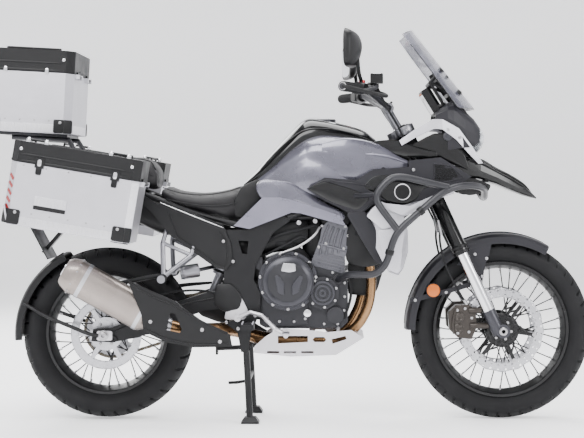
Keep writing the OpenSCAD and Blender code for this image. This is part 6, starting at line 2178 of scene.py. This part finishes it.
def seats() -> None:
    """Builds the rider's and the passenger's seats, each loft a little inside its solid."""
    rider = [
        (-466, 110, 804, 842, 3.4), (-440, 126, 780, 838, 3.4), (-400, 134, 766, 824, 3.2),
        (-330, 136, 748, 816, 3.2), (-271, 134, 734, 820, 3.2), (-223, 122, 720, 829, 3.1),
        (-181, 102, 724, 842, 3), (-152, 86, 754, 832, 3), (-128, 70, 784, 806, 3)
    ]
    rider_seams = [
        [
            (-460, 96, 841), (-400, 112, 823), (-330, 114, 815), (-271, 112, 819), (-223, 100, 828),
            (-181, 82, 840), (-150, 66, 830)
        ],
        [
            (-446, 122, 800), (-400, 133.5, 790), (-330, 135.5, 778), (-271, 133.5, 776),
            (-223, 121.5, 780), (-184, 103, 790)
        ]
    ]
    Seat("rider_seat", rider, 6.0, rider_seams).build()
    passenger = [
        (-712, 90, 904, 926, 3.2), (-690, 112, 872, 943, 3.2), (-600, 122, 850, 945, 3.2),
        (-530, 124, 840, 943, 3.2), (-500, 120, 834, 933, 3.2), (-480, 112, 838, 898, 3.2)
    ]
    passenger_seams = [
        [
            (-700, 84, 934), (-660, 98, 943), (-600, 102, 945), (-540, 103, 943), (-502, 98, 932),
            (-486, 92, 904)
        ],
        [(-690, 111, 908), (-600, 121.5, 900), (-530, 123.5, 894), (-496, 118, 886)]
    ]
    Seat("pillion_seat", passenger, 6.0, passenger_seams).build()
    stitches = []
    for y in (-60, -20, 20, 60):
        line = spline([(-690, y, 944), (-600, y, 946.5), (-520, y, 941)], 30)
        stitches.append(swept(line, 1.0, 6))
    piece("pillion_stitching", joined(stitches), "seat_side_vinyl", "frame")
    pads = []
    for x in (-380, -330, -280):
        z = 817 if x != -380 else 820
        line = spline([(x, -100, z - 2), (x - 6, 0, z + 1), (x, 100, z - 2)], 30)
        pads.append(swept(line, 1.4, 6))
    piece("rider_stitching", joined(pads), "seat_side_vinyl", "frame")


# ---------------------------------------------------------------- chassis


@dataclass
class Chassis:
    """Crash bars, swingarm, shock, pedals, pegs, stands and rear fittings."""

    def build(self) -> None:
        """Dresses the chassis nodes and adds what shows on them."""
        for node, finish, edge in (
            ("swingarm", "frame_powder", 2.0), ("rear_shock", "cast_alloy", 1.0),
            ("rear_caliper", "caliper_paint", 2.0), ("rear_hugger", "black_abs", 1.0),
            ("footpegs", "frame_powder", 1.0), ("passenger_pegs", "cast_alloy", 0.8),
            ("foot_levers", "plate_alloy", 0.8), ("centre_stand", "frame_powder", 1.0),
            ("side_stand", "frame_powder", 1.0)
        ):
            dress(node, finish, edge)
        self.crash_bars()
        self.rear()
        self.shock()
        self.feet()

    def crash_bars(self) -> None:
        """Side guards: round tubes with eased bends, end plates and clamp bands."""
        main = [
            (170, 112, 512), (205, 230, 538), (297, 288, 538), (337, 296, 575), (361, 300, 665),
            (385, 300, 700), (527, 286, 823), (580, 268, 846), (650, 214, 850), (690, 150, 838),
            (700, 60, 806), (700, 0.0, 804)
        ]
        loop = [
            (375, 300, 695), (304, 296, 788), (301, 294, 823), (350, 290, 876), (394, 288, 880),
            (553, 278, 842)
        ]
        stub = [(301, 294, 815), (230, 204, 812)]
        shells = [
            swept(cornered(main, 40), 12.4, 24), swept(cornered(loop, 36), 12.4, 24),
            tube(stub, 9.3, 2, 18, False)
        ]
        shells.append(
            revolved([(0, 0), (18, 0), (18, 6), (0, 6)], 28).moved((170, 112, 512), turn_to((0, 1, 0)))
        )
        piece("guard_tubes", both(shells), "bar_powder", "frame", ["crash_bars"])
        band = revolved([(12, -9), (15, -9), (15.6, -7), (15.6, 7), (15, 9), (12, 9), (12, -9)], 28)
        bands = [
            band.moved((348, 298, 618), turn_to((0.25, 0.04, 0.96))),
            band.moved((456, 293, 761), turn_to((0.75, -0.07, 0.65)))
        ]
        piece("guard_clamp_bands", both(bands), "black_bolt", "frame")
        piece("guard_bolts", both(scattered(bolt(7, 6), [(170, 118, 512)], (0, 1, 0))), "zinc_bolt", "frame")

    def rear(self) -> None:
        """Axle adjusters and nuts, caliper bolts and boss, a hugger spine, chain guard and the rear brake
        hose.
        """
        ring = revolved([(6.4, 0), (19, 0), (19, 3), (15, 4), (15, 12), (12, 14), (6.4, 14), (6.4, 0)], 28)
        plate = [block((56, 3, 34), 0.2).moved((-663, 142.4 * s, 313)) for s in (-1, 1)]
        piece("axle_adjusters", joined(plate), "plate_alloy", "frame")
        nuts = [ring.moved((-667, 143 * s, 313), turn_to((0, s, 0))) for s in (-1, 1)]
        piece("rear_axle_nuts", joined(nuts), "zinc_bolt", "frame")
        screws = scattered(
            bolt(5, 4), [(-630, -98.5, 440), (-570, -98.5, 436), (-600, -103.5, 358)], (0, -1, 0)
        )
        piece("rear_caliper_bolts", joined(screws), "zinc_bolt", "frame")
        boss = revolved(
            [(0, 0), (16, 0), (15, 4), (9, 5), (0, 4)], 28
        ).moved((-600, -97.5, 422), turn_to((0, -1, 0)))
        piece("rear_caliper_boss", boss, "caliper_paint", "frame")
        hose = tube(
            [
                (-560, -80, 430), (-480, -110, 452), (-400, -122, 470), (-300, -128, 470),
                (-215, -140, 430), (-196, -150, 396)
            ],
            4, 60, 12
        )
        piece("rear_brake_line", hose, "grip_rubber", "frame")
        guard = [(-640, 108, 424), (-540, 108, 446), (-420, 107, 474), (-300, 106, 486)]
        line = spline(guard, 50)
        piece(
            "chain_guard", swept(line, 8 * np.sin(np.linspace(0.25, np.pi - 0.25, 50)) ** 0.4, 14),
            "black_abs", "frame"
        )
        t = np.radians(np.linspace(120, 182, 40))
        rib = np.stack([-667 + 333 * np.cos(t), 0 * t, 313 + 333 * np.sin(t)], -1)
        piece("hugger_spine", swept(rib, 3.6, 10), "black_abs", "frame")
        beam = [(-240, 131.5, 452), (-400, 131.5, 420), (-540, 131.5, 366), (-640, 131.5, 322)]
        piece(
            "swingarm_ribs", both([swept(spline(beam, 50), 3.2, 10)]), "frame_powder", "frame",
        )
        pivot = revolved([(0, 0), (20, 0), (20, 5), (14, 8), (9, 8), (8, 4), (0, 4)], 32)
        piece(
            "pivot_caps", both([pivot.moved((-200, 148.5, 440), turn_to((0, 1, 0)))]), "engine_cover",
            "frame"
        )
        cover = [
            panel(
                [(-262, 500), (-206, 498), (-170, 452), (-176, 404), (-232, 396), (-276, 428)], 147, 156, 6,
                3, 3
            )
        ]
        piece("pivot_covers", both(cover), "black_abs", "frame")

    def shock(self) -> None:
        """Shock spring: a wire on a helix about the damper's axis, 6.5 turns of r (cos, sin) along it."""
        a, b = np.array([-262.0, 0, 520]), np.array([-206.0, 0, 638])
        s = np.linspace(0, 1, 260)
        turn = turn_to(b - a)
        ang = 2 * np.pi * 6.5 * s
        local = np.stack([31 * np.cos(ang), 31 * np.sin(ang), s * np.linalg.norm(b - a)], -1)
        piece("shock_spring", swept(local @ turn.T + a, 4.6, 10), "black_bolt", "frame")
        bottle = revolved(
            [(0, 0), (22, 0), (25.2, 3), (25.2, 50), (25.8, 52), (25.8, 58), (24, 62), (0, 64)], 32
        )
        piece(
            "shock_reservoir", bottle.moved((-330, -100, 545), turn_to((-0.97, -0.18, -0.15))),
            "cast_alloy", "frame"
        )

    def feet(self) -> None:
        """Peg teeth and rubbers, hanger bolts, pedal pads and stand pads."""
        teeth = [
            block((5, 5, 9), 0.3).moved((x, y, 364))
            for x in (-166, -130) for y in (184, 202, 220, 238, 252)
        ]
        pads = [block((30, 64, 6), 0.3).moved((-148, 214, 361))]
        piece("peg_teeth", both(teeth), "cast_alloy", "frame")
        piece("peg_rubbers", both(pads), "grip_rubber", "frame")
        rubber = revolved(
            [
                (13, 0), (16, 1), (16.4, 6), (15.4, 9), (16.4, 12), (15.4, 16), (16.4, 20), (15.4, 24),
                (16.4, 30), (15.4, 36), (16.4, 42), (16.4, 50), (13, 53)
            ],
            24
        )
        piece(
            "passenger_peg_rubbers", both([rubber.moved((-450, 192, 520), turn_to((0, 1, 0)))]),
            "grip_rubber", "frame", closed=False
        )
        bolts = scattered(bolt(6.5, 5), [(-228, 154, 362), (-126, 154, 386), (-186, 154, 340)], (0, 1, 0))
        piece("peg_hanger_bolts", both(bolts), "zinc_bolt", "frame")
        heel = [panel([(-236, 372), (-214, 470), (-184, 470), (-150, 402), (-160, 372)], 150, 155, 2, 2, 2)]
        piece("heel_guards", both(heel), "plate_alloy", "frame")
        pad = [block((26, 34, 8), 0.4).moved((-14, -216, 330))]
        piece("pedal_pad", joined(pad), "cast_alloy", "frame")
        sleeve = revolved(
            [(9, 0), (12, 1), (12.4, 18), (12, 36), (9, 38)], 20
        ).moved((14, 188, 352), turn_to((0, 1, 0)))
        piece("shifter_rubber", sleeve, "grip_rubber", "frame", closed=False)
        spot = [(-160, 134.5, 272)]
        piece("centre_stand_caps", both(scattered(bolt(12, 5), spot, (0, 1, 0))), "zinc_bolt", "frame")
        pads = [block((60, 50, 3), 0.3).moved((-144, 128 * s, 1.8)) for s in (-1, 1)]
        piece("centre_stand_soles", joined(pads), "grip_rubber", "centre_stand")
        piece(
            "side_stand_cap", joined(scattered(bolt(10, 5), [(-70, 176, 262)], (0, 1, 0))), "zinc_bolt",
            "side_stand"
        )


def main() -> None:
    """Builds the scene in order."""
    studio = Studio()
    studio.camera()
    studio.build()
    for part in (
        Wheels(), Chain(), Fork(), Cockpit(), Tank(), Fairing(), Engine(), Exhaust(), Luggage(), Chassis()
    ):
        LOG.info("building %s", type(part).__name__)
        part.build()
    seats()
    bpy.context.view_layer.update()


if __name__ == "__main__":
    logging.basicConfig(level=logging.INFO, format="%(name)s: %(message)s")
    main()
